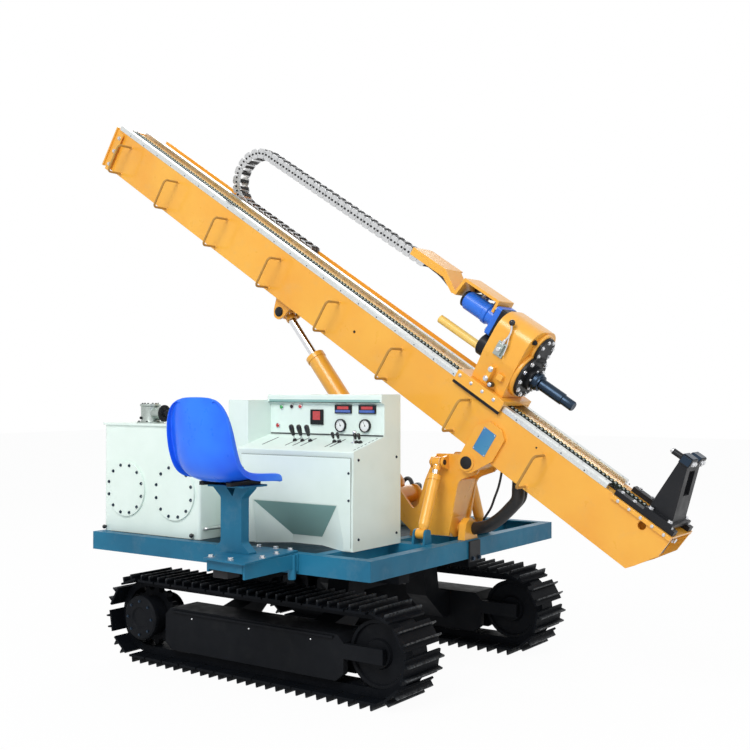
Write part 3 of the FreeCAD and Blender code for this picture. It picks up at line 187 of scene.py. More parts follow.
def track_iron():
    """Dark cast shoes, rubbed bright towards the tips of their bars."""
    half, height, rubbed_from, tip = 0.805, 0.25, 0.236, 0.2505
    t = Tree("track_iron")
    place = t.add("ShaderNodeSeparateXYZ")
    t.join(t.place, place.inputs["Vector"])
    middle = t.maths("ADD", place.outputs["X"], -MACHINE.translation.x)
    over = t.maths("MAXIMUM", t.maths("SUBTRACT", t.maths("ABSOLUTE", middle), half), 0.0)
    rise = t.maths("SUBTRACT", place.outputs["Z"], height)
    radius = t.maths("SQRT", t.maths("ADD", t.maths("MULTIPLY", over, over),
                                     t.maths("MULTIPLY", rise, rise)))
    tips = t.spread(radius, rubbed_from, tip)
    scuff = t.maths("MULTIPLY", tips, t.spread(t.noise(55.0, 6.0, 0.7), 0.35, 0.6))
    earth = t.spread(t.noise(7.0, 8.0, 0.7), 0.5, 0.8)
    iron = t.mix(earth, (0.003, 0.004, 0.006), (0.009, 0.010, 0.012))
    t.look(Base_Color=t.mix(scuff, iron, (0.07, 0.075, 0.08)),
           Metallic=t.maths("MULTIPLY", scuff, 0.5),
           Roughness=t.spread(scuff, 0.0, 1.0, 0.6, 0.35), Specular_IOR_Level=0.08)
    t.relief(t.noise(90.0, 6.0, 0.65), 0.0012, 0.5, 0.001)
    return t.material


def lit(name, colour, strength):
    """A lamp or a display behind glass."""
    t = Tree(name)
    tone = t.mix(t.spread(t.noise(60.0, 2.0), 0.3, 0.7), colour, tuple(0.7 * c for c in colour))
    t.look(Base_Color=tone, Emission_Color=colour, Emission_Strength=strength, Roughness=0.15,
           Coat_Weight=1.0)
    return t.material


YELLOW = enamel("yellow_enamel", (0.88, 0.44, 0.050), (0.83, 0.36, 0.034))
PALE_YELLOW = enamel("pale_yellow_enamel", (0.90, 0.62, 0.16), (0.82, 0.50, 0.10), coat=0.3)
# Darker yellow for the bent bars of the mast: painted shade.
RUNG_SHADE_YELLOW = enamel("rung_painted_shade_yellow", (0.50, 0.27, 0.060), (0.40, 0.20, 0.045), 0.45, coat=0.1,
                     shine=0.2)
BLUE_GREY = enamel("deck_enamel", (0.018, 0.165, 0.285), (0.013, 0.115, 0.205), 0.4,
                   coat=0.05, shine=0.15)
# Dark blue-black for the deck plate inside its frame: painted shade, where the deck lies in shadow.
DECK_PAINTED_SHADE = enamel("deck_plate_painted_shade", (0.010, 0.030, 0.045), (0.006, 0.018, 0.028), 0.5, coat=0.0,
                   shine=0.1)
PLATE_BLUE = enamel("blue_plate", (0.030, 0.14, 0.42), (0.05, 0.24, 0.42), 0.3)
MINT = enamel("mint_enamel", (0.79, 0.90, 0.84), (0.71, 0.83, 0.76), 0.34, coat=0.2, dirt=0.12)
# Darker mint for the foot recess's back wall and a strip under the hood: painted shade and painted
# shadow.
MINT_PAINTED_SHADE = enamel("painted_shade_mint", (0.30, 0.50, 0.46), (0.24, 0.42, 0.39), 0.5, coat=0.0, shine=0.2)
MOTOR = enamel("motor_enamel", (0.02, 0.17, 0.76), (0.012, 0.10, 0.56), 0.3, coat=0.2)
RUNNING = enamel("running_gear", (0.0045, 0.0055, 0.0075), (0.008, 0.009, 0.011), 0.55, coat=0.0,
                 dirt=0.04, shine=0.08)
BLACK = enamel("black_enamel", (0.008, 0.010, 0.013), (0.018, 0.018, 0.020), 0.4, coat=0.08,
               dirt=0.04, shine=0.15)
GREY = metal("cast_grey", (0.46, 0.52, 0.49), 0.34)
STEEL = metal("bright_steel", (0.74, 0.75, 0.77), 0.24, (1, 20, 1), 60.0, depth=0.00004)
RAIL = metal("rail_steel", (0.80, 0.83, 0.82), 0.3, edge=0.0, depth=0.00001)
CHROME = metal("chrome", (0.82, 0.83, 0.85), 0.08, depth=0.00003)
DARK_STEEL = metal("dark_steel", (0.035, 0.055, 0.085), 0.3, (30, 1, 1), 50.0)
CHAIN = metal("oiled_chain", (0.035, 0.05, 0.045), 0.45)
LINK = metal("link_plate", (0.72, 0.73, 0.74), 0.3)
SEAT = plastic("seat_plastic", (0.020, 0.19, 0.92), (0.010, 0.10, 0.80), 0.3, 0.1)
RUBBER = plastic("hose_rubber", (0.012, 0.012, 0.013), (0.02, 0.02, 0.021), 0.45)
KNOB = plastic("black_knob", (0.010, 0.010, 0.011), (0.016, 0.016, 0.017), 0.2, 0.4)
DIAL = plastic("dial_face", (0.86, 0.88, 0.86), (0.80, 0.82, 0.80), 0.4)
SCREEN_BLUE = lit("blue_screen", (0.03, 0.10, 0.42), 0.12)
LAMP_RED = lit("red_lamp", (0.48, 0.012, 0.018), 0.2)
LAMP_GREEN = lit("green_lamp", (0.03, 0.36, 0.08), 0.2)
TRACK = track_iron()


def dress(material, *names):
    """Gives CAD nodes their finish."""
    for name in names:
        node = frame["nodes"][name]
        node.data.materials.clear()
        node.data.materials.append(material)


dress(TRACK, "track_right", "track_left")
dress(RUNNING, "track_beam_right", "track_beam_left", "final_drive_right",
      "final_drive_left", "idler_right", "idler_left", "rollers_right", "rollers_left",
      "undercarriage_frame")
dress(BLACK, "support_pins", "wear_strips", "gearbox_covers", "rod_clamp")
# the deck plate is painted dark as shade
dress(DECK_PAINTED_SHADE, "deck_plate")
dress(BLUE_GREY, "deck_frame", "seat_outrigger", "seat_post", "roll_feet")
dress(MINT, "tank", "tank_covers", "console_cabinet", "console_door", "valve_cabinet")
dress(GREY, "power_pack")
dress(YELLOW, "roll_bearings", "mast_support", "mast_beam", "mast_end_plate",
      "mast_brackets", "chain_trough", "carriage", "gearbox", "head_guard",
      "rear_tube", "tilt_barrel", "roll_barrel_right", "roll_barrel_left")
# the rungs get a darker yellow as painted shade
dress(RUNG_SHADE_YELLOW, "mast_rungs")
dress(RAIL, "mast_slides")
dress(CHROME, "tilt_rod", "roll_rod_right", "roll_rod_left")
dress(MOTOR, "head_motor")
dress(DARK_STEEL, "spindle")


# Shapes

ON_MAST = ("mast", "head", "spindle", "hose_loop")


def around(count, first=0.0):
    """Cosine and sine of evenly spaced turns; the first one is given in steps."""
    for i in range(count):
        angle = 2 * math.pi * (i + first) / count
        yield math.cos(angle), math.sin(angle)


class Shape:
    """Solids gathered in their body's drawing frame, then turned into a piece."""

    def __init__(self, body="chassis", at=None):
        self.mesh = bmesh.new()
        self.body = body
        self.at = at or (MAST if body in ON_MAST else MACHINE)

    def faces(self, rings, closed=True, capped=True):
        """Skins rings of equal count; capped closes both ends."""
        made = [[self.mesh.verts.new(p) for p in ring] for ring in rings]
        count = len(made[0])
        for low, high in zip(made, made[1:]):
            for i in range(count if closed else count - 1):
                j = (i + 1) % count
                self.mesh.faces.new((low[i], low[j], high[j], high[i]))
        if capped:
            self.mesh.faces.new(reversed(made[0]))
            self.mesh.faces.new(made[-1])

    def box(self, low, high):
        (x0, y0, z0), (x1, y1, z1) = low, high
        self.faces([[(x0, y0, z), (x1, y0, z), (x1, y1, z), (x0, y1, z)] for z in (z0, z1)])

    def lathe(self, start, end, profile, sides=32, capped=True):
        """Turns (along, radius) pairs round the line from start towards end."""
        start, axis = Vector(start), (Vector(end) - Vector(start)).normalized()
        across = axis.orthogonal().normalized()
        other = axis.cross(across)
        self.faces([[start + axis * along + across * (radius * c) + other * (radius * s)
                     for c, s in around(sides)] for along, radius in profile], capped=capped)

    def rod(self, start, end, radius, sides=20):
        length = (Vector(end) - Vector(start)).length
        soft = min(radius * 0.15, length * 0.2)
        self.lathe(start, end, ((0, radius - soft), (soft, radius), (length - soft, radius),
                                (length, radius - soft)), sides)

    def bolt(self, at, out, size):
        """Hexagon head on a washer; size is across the corners."""
        end = Vector(at) + Vector(out)
        washer, head = size * 0.12, size * 0.5
        self.lathe(at, end, ((0, size * 0.62), (washer, size * 0.62)), 16)
        self.lathe(at, end, ((washer, head), (size * 0.42, head), (head, head * 0.86)), 6)

    def bolts(self, places, out, size):
        for at in places:
            self.bolt(at, out, size)

    def ball(self, at, radius, sides=16):
        profile = [(radius * (1 - math.cos(a)), max(radius * math.sin(a), radius * 0.02))
                   for a in (math.pi * i / 10 for i in range(11))]
        self.lathe(Vector(at) - Vector((0, 0, radius)), at, profile, sides)

    def ring(self, start, end, outer, inner, sides=28):
        """Open ring, such as a bezel, between two places on its axis."""
        length = (Vector(end) - Vector(start)).length
        soft = min(0.15 * length, 0.2 * (outer - inner))
        loop = ((0, inner), (0, outer - soft), (soft, outer), (length - soft, outer),
                (length, outer - soft), (length, inner), (0, inner))
        self.lathe(start, end, loop, sides, False)

    def prism(self, outline, axis, low, high):
        """Sweeps an outline of the other two coordinates along an axis."""
        def corner(u, v, w):
            return {"X": (w, u, v), "Y": (u, w, v), "Z": (u, v, w)}[axis]
        self.faces([[corner(u, v, w) for u, v in outline] for w in (low, high)])

    def tube(self, points, radius, sides=12):
        """Round tube through points, without a twist."""
        points = [Vector(p) for p in points]
        rings, across = [], None
        for i, point in enumerate(points):
            ahead = points[min(i + 1, len(points) - 1)] - points[max(i - 1, 0)]
            ahead.normalize()
            if across is None:
                across = ahead.orthogonal().normalized()
            across = (across - ahead * across.dot(ahead)).normalized()
            other = ahead.cross(across)
            rings.append([point + across * (radius * c) + other * (radius * s)
                          for c, s in around(sides)])
        self.faces(rings)

    def piece(self, name, material, bevel=0.0, smooth=35.0):
        """Object that rides the body, with round edges where bevel isn't zero."""
        bmesh.ops.recalc_face_normals(self.mesh, faces=self.mesh.faces)
        self.mesh.transform(self.at)
        for face in self.mesh.faces:
            face.smooth = True
        for edge in self.mesh.edges:
            edge.smooth = edge.calc_face_angle(0) < math.radians(smooth)
        data = bpy.data.meshes.new(name)
        self.mesh.to_mesh(data)
        self.mesh.free()
        made = bpy.data.objects.new(name, data)
        bpy.context.scene.collection.objects.link(made)
        made.data.materials.append(material)
        if bevel:
            edge = made.modifiers.new("Edges", "BEVEL")
            edge.width = bevel
            edge.segments = 2
            edge.limit_method = "ANGLE"
            edge.angle_limit = math.radians(smooth)
            edge.harden_normals = True
        if self.body:
            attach(made, self.body)
        return made


def rounded(corners, steps=7):
    """Outline whose corners with a third value are rounded to that radius."""
    line, count = [], len(corners)
    for i, corner in enumerate(corners):
        here = Vector(corner[:2])
        if len(corner) < 3:
            line.append(tuple(here))
            continue
        before = (Vector(corners[i - 1][:2]) - here).normalized()
        after = (Vector(corners[(i + 1) % count][:2]) - here).normalized()
        half = before.angle(after) / 2
        middle = here + (before + after).normalized() * (corner[2] / math.sin(half))
        reach = corner[2] / math.tan(half)
        first, last = (here + way * reach - middle for way in (before, after))
        start = math.atan2(first.y, first.x)
        sweep = math.atan2(last.y, last.x) - start
        sweep -= 2 * math.pi * round(sweep / (2 * math.pi))
        for k in range(steps + 1):
            angle = start + sweep * k / steps
            line.append((middle.x + corner[2] * math.cos(angle),
                         middle.y + corner[2] * math.sin(angle)))
    return line


def mirrored(half):
    """Closed outline from its half on the positive side, read from the foot upwards."""
    return [*half, *((-u, *rest) for u, *rest in reversed(half) if u)]


def stands_for(made, node):
    """Shows a piece in the place of a CAD node."""
    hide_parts(node)


def curve_points(points, steps=8):
    """Catmull-Rom line through the given points."""
    points = [Vector(p) for p in points]
    ends = [2 * points[0] - points[1], *points, 2 * points[-1] - points[-2]]
    line = []
    for a, b, c, d in zip(ends, ends[1:], ends[2:], ends[3:]):
        for i in range(steps):
            t = i / steps
            line.append(0.5 * ((2 * b) + (c - a) * t + (2 * a - 5 * b + 4 * c - d) * t * t
                               + (3 * b - a - 3 * c + d) * t ** 3))
    line.append(points[-1])
    return line


# Hose chain: side plates with dark cross bars, along its bend

CHAIN_NEAR, CHAIN_FAR = 0.166, 0.256
CHAIN_TOP, CHAIN_LOW, CHAIN_HIGH = 0.728, 0.3113, 0.064
CHAIN_REAR, CHAIN_HEAD, CHAIN_RUN = -2.420, -1.000, 0.640
LINK_PITCH = 0.058


def chain_line():
    """Middle line of the hose chain from its low end to the head: place, direction."""
    low, top = CHAIN_LOW + CHAIN_HIGH / 2, CHAIN_TOP - CHAIN_HIGH / 2
    radius = (top - low) / 2
    bend = math.pi * radius

    def at(distance):
        if distance < CHAIN_RUN:
            return (CHAIN_REAR + CHAIN_RUN - distance, low), math.pi
        distance -= CHAIN_RUN
        if distance < bend:
            turned = distance / radius
            return ((CHAIN_REAR - radius * math.sin(turned),
                     (low + top) / 2 - radius * math.cos(turned)), math.pi - turned)
        return (CHAIN_REAR + distance - bend, top), 0.0
    return at, CHAIN_RUN + bend, CHAIN_RUN + bend + CHAIN_HEAD - CHAIN_REAR


def chain_link(shape, ribs, where, turned):
    """One link: two waisted side plates, its pins, and bars across."""
    s, n = where
    length, half, sheet = LINK_PITCH * 0.96, CHAIN_HIGH / 2, 0.006
    along = Vector((math.cos(turned), 0, math.sin(turned)))
    out = Vector((-math.sin(turned), 0, math.cos(turned)))
    middle = Vector((s, 0, n))

    def spot(u, y, w):
        return middle + along * u + out * w + Vector((0, y, 0))
    outline = [(-0.5, -0.62), (-0.30, -0.98), (0.30, -0.98), (0.5, -0.70), (0.56, 0.0),
               (0.5, 0.70), (0.30, 0.98), (-0.30, 0.98), (-0.5, 0.62), (-0.42, 0.0)]
    for y in (CHAIN_NEAR, CHAIN_FAR - sheet):
        shape.faces([[spot(u * length, y + thick, w * half) for u, w in outline]
                     for thick in (0, sheet)])
    for y, out_y in ((CHAIN_NEAR, -0.003), (CHAIN_FAR, 0.003)):
        for u in (-0.26, 0.28):
            ribs.rod(spot(u * length, y, 0), spot(u * length, y + out_y, 0), 0.007, 10)
    for w in (0.90, -0.90):
        corners = ((-0.17, CHAIN_NEAR + 0.004), (-0.17, CHAIN_FAR - 0.004),
                   (0.17, CHAIN_FAR - 0.004), (0.17, CHAIN_NEAR + 0.004))
        ribs.faces([[spot(u * length, y, w * half + v) for u, y in corners]
                    for v in (-0.003, 0.003)])


def hose_chain():
    """Lower run and bend, which ride the loop, and the upper run between loop and head."""
    at, upper_start, total = chain_line()
    count = round(total / LINK_PITCH)
    pitch = total / count
    lower, lower_ribs = Shape("hose_loop"), Shape("hose_loop")
    upper, upper_ribs = Shape(None, MAST), Shape(None, MAST)
    for i in range(count):
        distance = (i + 0.5) * pitch
        pair = (lower, lower_ribs) if distance < upper_start else (upper, upper_ribs)
        chain_link(*pair, *at(distance))
    stands_for(lower.piece("hose_chain_bend", LINK), "hose_chain")
    lower_ribs.piece("hose_chain_bend_bars", RUBBER)
    for made in (upper.piece("hose_chain_run", LINK),
                 upper_ribs.piece("hose_chain_run_bars", RUBBER)):
        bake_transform(made)


hose_chain()

# Bucket seat

SEAT_X, SEAT_SHIFT = 0.183, 0.045
# middle of each row: y, z; its rim: y, z; half width; how the rolled edge turns: y, z
SEAT_ROWS = (
    (-1.024, 1.094, -1.024, 1.096, 0.176, 0.000, -0.002),
    (-1.020, 1.116, -1.022, 1.122, 0.192, 0.004, -0.022),
    (-1.030, 1.127, -1.036, 1.136, 0.202, 0.002, -0.034),
    (-1.075, 1.125, -1.085, 1.144, 0.209, 0.000, -0.040),
    (-1.150, 1.112, -1.165, 1.149, 0.211, 0.000, -0.042),
    (-1.230, 1.103, -1.245, 1.155, 0.212, 0.000, -0.042),
    (-1.305, 1.104, -1.298, 1.166, 0.212, -0.012, -0.038),
    (-1.365, 1.122, -1.332, 1.194, 0.211, -0.028, -0.026),
    (-1.405, 1.165, -1.352, 1.236, 0.210, -0.036, -0.012),
    (-1.424, 1.235, -1.368, 1.288, 0.209, -0.038, -0.004),
    (-1.433, 1.330, -1.384, 1.358, 0.204, -0.036, 0.000),
    (-1.436, 1.420, -1.400, 1.424, 0.190, -0.028, -0.002),
    (-1.436, 1.482, -1.414, 1.474, 0.166, -0.020, -0.004),
    (-1.434, 1.512, -1.422, 1.500, 0.138, -0.013, -0.008),
    (-1.430, 1.522, -1.426, 1.514, 0.108, -0.008, -0.011),
)
TOP_ROLL = (-0.003, -0.020)


def seat():
    """Bucket from the front lip over the pan and up the back, with a turned-down rim."""
    wide = 12
    rows = []
    for y, z, rim_y, rim_z, half, roll_y, roll_z in SEAT_ROWS:
        row = []
        for i in range(wide + 1):
            u = 2 * i / wide - 1
            lift = abs(u) ** 2.8
            row.append(Vector((SEAT_X + half * u, SEAT_SHIFT + y + (rim_y - y) * lift,
                               z + (rim_z - z) * lift)))
        for share in (0.35, 1.0):
            for sign in (-1, 1):
                rim = Vector((SEAT_X + sign * half, SEAT_SHIFT + rim_y, rim_z))
                turned = Vector((sign * (0.003 + 0.003 * share), roll_y * share,
                                 roll_z * share))
                row.insert(0 if sign < 0 else len(row), rim + turned)
        rows.append(row)
    rows.append([point + Vector((0, *TOP_ROLL)) for point in rows[-1]])
    shape = Shape()
    shape.faces(rows, closed=False, capped=False)
    made = shape.piece("seat_bucket", SEAT, smooth=180)
    thick = made.modifiers.new("Wall", "SOLIDIFY")
    thick.thickness = 0.006
    thick.offset = 0.0
    fine = made.modifiers.new("Round", "SUBSURF")
    fine.levels = fine.render_levels = 2
    stands_for(made, "seat_shell")
    rails = Shape()
    for x in (SEAT_X - 0.075, SEAT_X + 0.105):
        rails.prism([(-1.268, 1.086), (-1.048, 1.086), (-1.048, 1.124), (-1.118, 1.112),
                     (-1.268, 1.105)], "X", x - 0.015, x + 0.015)
    rails.piece("seat_rails", BLACK, 0.002)


POST = (0.220, -1.148)
DECK_TOP, ARM_TOP = 0.742, 0.752


def seat_stand():
    """Flared post with its notch, on a skewed arm that is hinged to the deck."""
    post = Shape()
    half, flare, deep, head = 0.069, 0.119, 0.028, 1.076
    x, y = POST
    side = [(-flare, ARM_TOP), (-flare, ARM_TOP + 0.008), (-half, ARM_TOP + 0.050, 0.02),
            (-half, head - 0.052, 0.02), (-flare, head - 0.006), (-flare, head),
            (-0.034, head), (0.010, head - 0.046), (0.028, head), (flare, head),
            (flare, head - 0.006), (half, head - 0.052, 0.02), (half, ARM_TOP + 0.050, 0.02),
            (flare, ARM_TOP + 0.008), (flare, ARM_TOP)]
    post.prism([(x + u, v) for u, v in rounded(side)], "Y", y - deep, y + deep)
    post.box((x - flare, y - 0.068, head), (x + flare, y + 0.108, head + 0.010))
    stands_for(post.piece("seat_stand_post", BLUE_GREY, 0.001), "seat_post")
    arm = Shape()
    arm.prism(rounded([(0.217, -1.368, 0.014), (0.504, -1.396, 0.014), (0.437, -0.920),
                       (0.146, -0.920)]), "Z", DECK_TOP + 0.0004, ARM_TOP)
    for outline, low in (
            ([(0.456, -0.974), (0.468, -0.974), (0.484, -1.368), (0.472, -1.368)], 0.670),
            ([(0.152, -0.974), (0.164, -0.974), (0.230, -1.343), (0.218, -1.343)], 0.682),
            ([(0.218, -1.343), (0.230, -1.331), (0.470, -1.354), (0.470, -1.368)], 0.696),
            ([(0.150, -0.974), (0.476, -0.974), (0.476, -0.9604), (0.150, -0.9604)], 0.657)):
        arm.prism(outline, "Z", low, DECK_TOP)
    arm.rod((0.454, -0.988, 0.617), (0.454, -0.988, DECK_TOP), 0.020, 24)
    stands_for(arm.piece("seat_arm", BLUE_GREY, 0.0015), "seat_outrigger")


def seat_arm_bolts():
    """Bolts on the seat's arm, and the dark block under it."""
    shape = Shape()
    shape.bolts([(x, y, ARM_TOP) for x, y in (
        (0.240, -1.335), (0.380, -1.350), (0.188, -1.040), (0.432, -1.080), (0.200, -0.940),
        (0.310, -0.940), (0.405, -0.940), (0.462, -1.218))], (0, 0, 1), 0.026)
    shape.bolts([(x, -0.974, z) for x in (0.19, 0.41) for z in (0.680, 0.715)], (0, -1, 0),
                0.024)
    shape.piece("seat_arm_bolts", STEEL)
    box = Shape()
    box.box((0.245, -1.330, 0.655), (0.342, -1.245, 0.694))
    box.box((0.260, -1.315, 0.694), (0.327, -1.260, DECK_TOP))
    box.piece("seat_arm_block", BLACK, 0.004)


# Console

LEFT, RIGHT, FACE, PANEL, BACK = -0.112, 0.665, -0.766, -0.493, -0.340
PANEL_FOOT, CABINET_TOP = 1.316, 1.530
LEDGE_FRONT, LEDGE_SLOPE = 1.240, 0.2536
HOOD_Y, HOOD_Z = -0.515, 1.486
SIDE_LEFT = LEFT - 0.150


def cabinet():
    """Sheet cabinet: sloping ledge, panel recess under a hood, hopper-shaped foot recess, with
    painted shade on the recess's back wall and a painted shadow strip under the hood.
    """
    deep, low, brow, rise, thin = FACE + 0.112, DECK_TOP, 0.967, 0.787, 0.001
    side = rounded([(FACE, LEDGE_FRONT, 0.006), (-0.490, 1.310), (-0.490, 1.478),
                    (HOOD_Y, HOOD_Z), (HOOD_Y, CABINET_TOP, 0.010),
                    (BACK, CABINET_TOP, 0.008), (BACK, low)], 4)
    shape = Shape()
    vert = {}

    def skin(*corners):
        """Face between corners, which are shared with the faces beside it."""
        for corner in corners:
            key = tuple(round(value, 6) for value in corner)
            if key not in vert:
                vert[key] = shape.mesh.verts.new(key)
        shape.mesh.faces.new([vert[tuple(round(value, 6) for value in corner)]
                              for corner in corners])
    foot_l, foot_r, back_l, back_r, brow_l, brow_r = 0.030, 0.603, 0.184, 0.384, 0.006, 0.562
    for (y, z), (v, w) in zip(side, side[1:]):
        skin((LEFT, y, z), (RIGHT, y, z), (RIGHT, v, w), (LEFT, v, w))
    for x, foot, back, top in ((LEFT, foot_l, back_l, brow_l), (RIGHT, foot_r, back_r, brow_r)):
        skin((x, FACE, low), (x, FACE, brow), *((x, y, z) for y, z in side))
        skin((x, FACE, low), (foot, FACE, low), (foot, FACE, rise), (top, FACE, brow),
             (x, FACE, brow))
        skin((foot, FACE, low), (back, deep, low), (back, deep, rise), (foot, FACE, rise))
        skin((foot, FACE, rise), (back, deep, rise), (top, FACE, brow))
    skin((LEFT, FACE, low), (foot_l, FACE, low), (back_l, deep, low), (back_r, deep, low),
         (foot_r, FACE, low), (RIGHT, FACE, low), (RIGHT, BACK, low), (LEFT, BACK, low))
    skin((LEFT, FACE, brow), (brow_l, FACE, brow), (brow_r, FACE, brow), (RIGHT, FACE, brow),
         (RIGHT, *side[0]), (LEFT, *side[0]))
    skin((back_l, deep, low), (back_r, deep, low), (back_r, deep, rise), (back_l, deep, rise))
    skin((back_l, deep, rise), (back_r, deep, rise), (brow_r, FACE, brow), (brow_l, FACE, brow))
    stands_for(shape.piece("console_body", MINT), "console_cabinet")
    # A thin sheet laid on the foot recess's sloping back wall, in darker mint: painted shade.
    shape, vert = Shape(), {}
    wall = [Vector(p) for p in ((back_l + thin, deep, rise), (back_r - thin, deep, rise),
                                (brow_r - thin, FACE, brow), (brow_l + thin, FACE, brow))]
    sunk = (wall[2] - wall[1]).cross(wall[0] - wall[1]).normalized()
    sunk *= -thin if sunk.z > 0 else thin
    near, far = [p + sunk for p in wall], [p + sunk * 0.2 for p in wall]
    skin(*near)
    skin(*far)
    for i in range(4):
        skin(near[i - 1], near[i], far[i], far[i - 1])
    shape.piece("console_foot_recess_painted_shade", MINT_PAINTED_SHADE)
    # Darker mint strip along the foot of the hood's front: painted shadow under the hood.
    hood_shadow_strip = Shape()
    hood_shadow_strip.box((LEFT + 0.012, HOOD_Y - 0.0008, HOOD_Z + 0.001),
             (RIGHT - 0.012, HOOD_Y, HOOD_Z + 0.016))
    hood_shadow_strip.piece("console_hood_painted_shadow", MINT_PAINTED_SHADE)
    door, gap = Shape(), 0.003
    door.prism([(-0.080, low + 0.004), (foot_l - gap, low + 0.004), (foot_l - gap, rise),
                (brow_l - gap, brow + gap), (brow_r + gap, brow + gap), (foot_r + gap, rise),
                (foot_r + gap, low + 0.004), (0.651, low + 0.004), (0.651, 1.210),
                (-0.080, 1.210)], "Y", FACE - 0.003, FACE)
    stands_for(door.piece("console_front_door", MINT, 0.001), "console_door")
    narrow = Shape()
    narrow.prism(rounded([(SIDE_LEFT, -0.680, 0.012), (LEFT, -0.680), (LEFT, BACK),
                          (SIDE_LEFT, BACK, 0.012)]), "Z", low, 1.500)
    stands_for(narrow.piece("console_side_cabinet", MINT, 0.002), "valve_cabinet")


def ledge(y):
    """Height of the sloping ledge."""
    return LEDGE_FRONT + LEDGE_SLOPE * (y - FACE)


def panel():
    """Panel sheet with gauges, lamps and displays in dark bezels."""
    middle = (LEFT + RIGHT) / 2
    sheet = Shape()
    sheet.box((LEFT + 0.014, PANEL, PANEL_FOOT), (RIGHT - 0.014, PANEL + 0.003, 1.470))
    stands_for(sheet.piece("panel_sheet", MINT, 0.001), "instrument_panel")
    rims, dark, dials = Shape(), Shape(), Shape()
    lamps = {"red": Shape(), "green": Shape(), "dark": Shape()}
    for x, rise, radius, kind in ((-0.303, 0.147, 0.014, "green"), (-0.230, 0.150, 0.014, "dark"),
                                  (-0.170, 0.151, 0.014, "red"), (-0.330, 0.044, 0.015, "red")):
        at = Vector((middle + x, PANEL, PANEL_FOOT + rise - 0.003))
        rims.ring(at, at + Vector((0, -0.006, 0)), radius, radius * 0.72, 24)
        lamps[kind].lathe(at, at + Vector((0, -1, 0)),
                          ((0, radius * 0.72), (0.008, radius * 0.72), (0.011, radius * 0.5),
                           (0.012, radius * 0.1)), 20)
    for x, rise in ((0.1105, 0.049), (0.2715, 0.050)):
        at = Vector((middle + x, PANEL, PANEL_FOOT + rise - 0.001))
        dark.ring(at, at + Vector((0, -0.016, 0)), 0.035, 0.030, 36)
        dials.lathe(at, at + Vector((0, -1, 0)), ((0, 0.0305), (0.010, 0.0305)), 36)
        front = at + Vector((0, -0.0102, 0))
        for i in range(11):
            mark = math.radians(225 - 27 * i)
            way = Vector((math.cos(mark), 0, math.sin(mark)))
            dark.tube([front + way * 0.023, front + way * 0.028], 0.0007, 4)
        needle = Vector((math.cos(2.1), 0, math.sin(2.1)))
        dark.tube([front - needle * 0.006, front + needle * 0.022], 0.0010, 5)
        dark.rod(front, front + Vector((0, -0.002, 0)), 0.0035, 12)
    screens = {"red": Shape(), "blue": Shape()}
    for x, rise, wide, high, parts in (
            (-0.0525, 0.091, 0.086, 0.082, (("red", 0.28, 0.95),)),
            (0.1265, 0.135, 0.110, 0.046, (("red", 0.5, 0.95), ("blue", 0.0, 0.38))),
            (0.2845, 0.135, 0.110, 0.046, (("red", 0.5, 0.95), ("blue", 0.0, 0.38)))):
        x0, x1 = middle + x - wide / 2, middle + x + wide / 2
        z0, z1 = PANEL_FOOT + rise - high / 2, PANEL_FOOT + rise + high / 2
        dark.box((x0, PANEL - 0.009, z0), (x1, PANEL, z1))
        edge = 0.006
        for kind, low, top in parts:
            inside, inset = high - 2 * edge, edge + (0.012 if kind == "red" else 0.0)
            screens[kind].box((x0 + inset, PANEL - 0.0102, z0 + edge + low * inside),
                              (x1 - inset, PANEL - 0.008, z0 + edge + top * inside))
    rims.piece("lamp_bezels", CHROME)
    dark.piece("panel_frames", BLACK, 0.0005)
    dials.piece("gauge_faces", DIAL)
    lamps["red"].piece("red_lamps", LAMP_RED)
    lamps["green"].piece("green_lamp", LAMP_GREEN)
    lamps["dark"].piece("dark_lamp", BLACK)
    screens["red"].piece("red_displays", LAMP_RED)
    screens["blue"].piece("blue_displays", SCREEN_BLUE)


def levers():
    """Levers that lean towards the seat, with slots and rubber boots."""
    stems, grips, slots = Shape(), Shape(), Shape()

    def slot(low, high, x0, x1):
        """Thin dark strip that lies on the ledge."""
        thick = 0.0008
        slots.prism([(low, ledge(low)), (high, ledge(high)), (high, ledge(high) + thick),
                     (low, ledge(low) + thick)], "X", x0, x1)
    for x, tall, thick in ((0.161, 0.062, 0.014), (0.2125, 0.062, 0.014),
                           (0.266, 0.062, 0.014), (0.4285, 0.036, 0.009),
                           (0.461, 0.036, 0.009), (0.572, 0.034, 0.010),
                           (0.596, 0.034, 0.010)):
        foot = Vector((x, -0.608, ledge(-0.608)))
        lean = Vector((0, -0.42, 1)).normalized()
        slots.lathe(foot, foot + lean, ((-0.004, 0.013), (0.006, 0.011), (0.014, 0.006)), 16)
        neck = 0.034 if tall > 0.05 else 0.022
        stems.tube([foot, foot + lean * (neck + 0.01)], 0.0045, 10)
        grip = foot + lean * neck
        grips.lathe(grip, grip + lean,
                    [(tall * u, thick * v) for u, v in ((0, 0.62), (0.1, 0.72), (0.55, 1),
                                                        (0.85, 0.96), (0.97, 0.6), (1, 0.15))],
                    20)
    for x in (0.000, 0.161, 0.2125, 0.266, 0.4285, 0.461):
        slot(-0.690, -0.555, x - 0.0035, x + 0.0035)
    for i in range(7):
        low = -0.730 + 0.032 * i
        slot(low, low + 0.018, 0.640, 0.644)
    stands_for(grips.piece("lever_grips", KNOB), "console_levers")
    x, foot, z = 0.5525, -0.606, ledge(-0.606)
    stems.ball((x, -0.600, 1.333), 0.012)
    stems.rod((x, foot, z), (x, -0.600, 1.333), 0.004, 12)
    stems.rod((x, foot, z - 0.001), (x, foot, z + 0.004), 0.016, 20)
    stems.piece("lever_stems", CHROME)
    slots.piece("lever_slots", RUBBER)


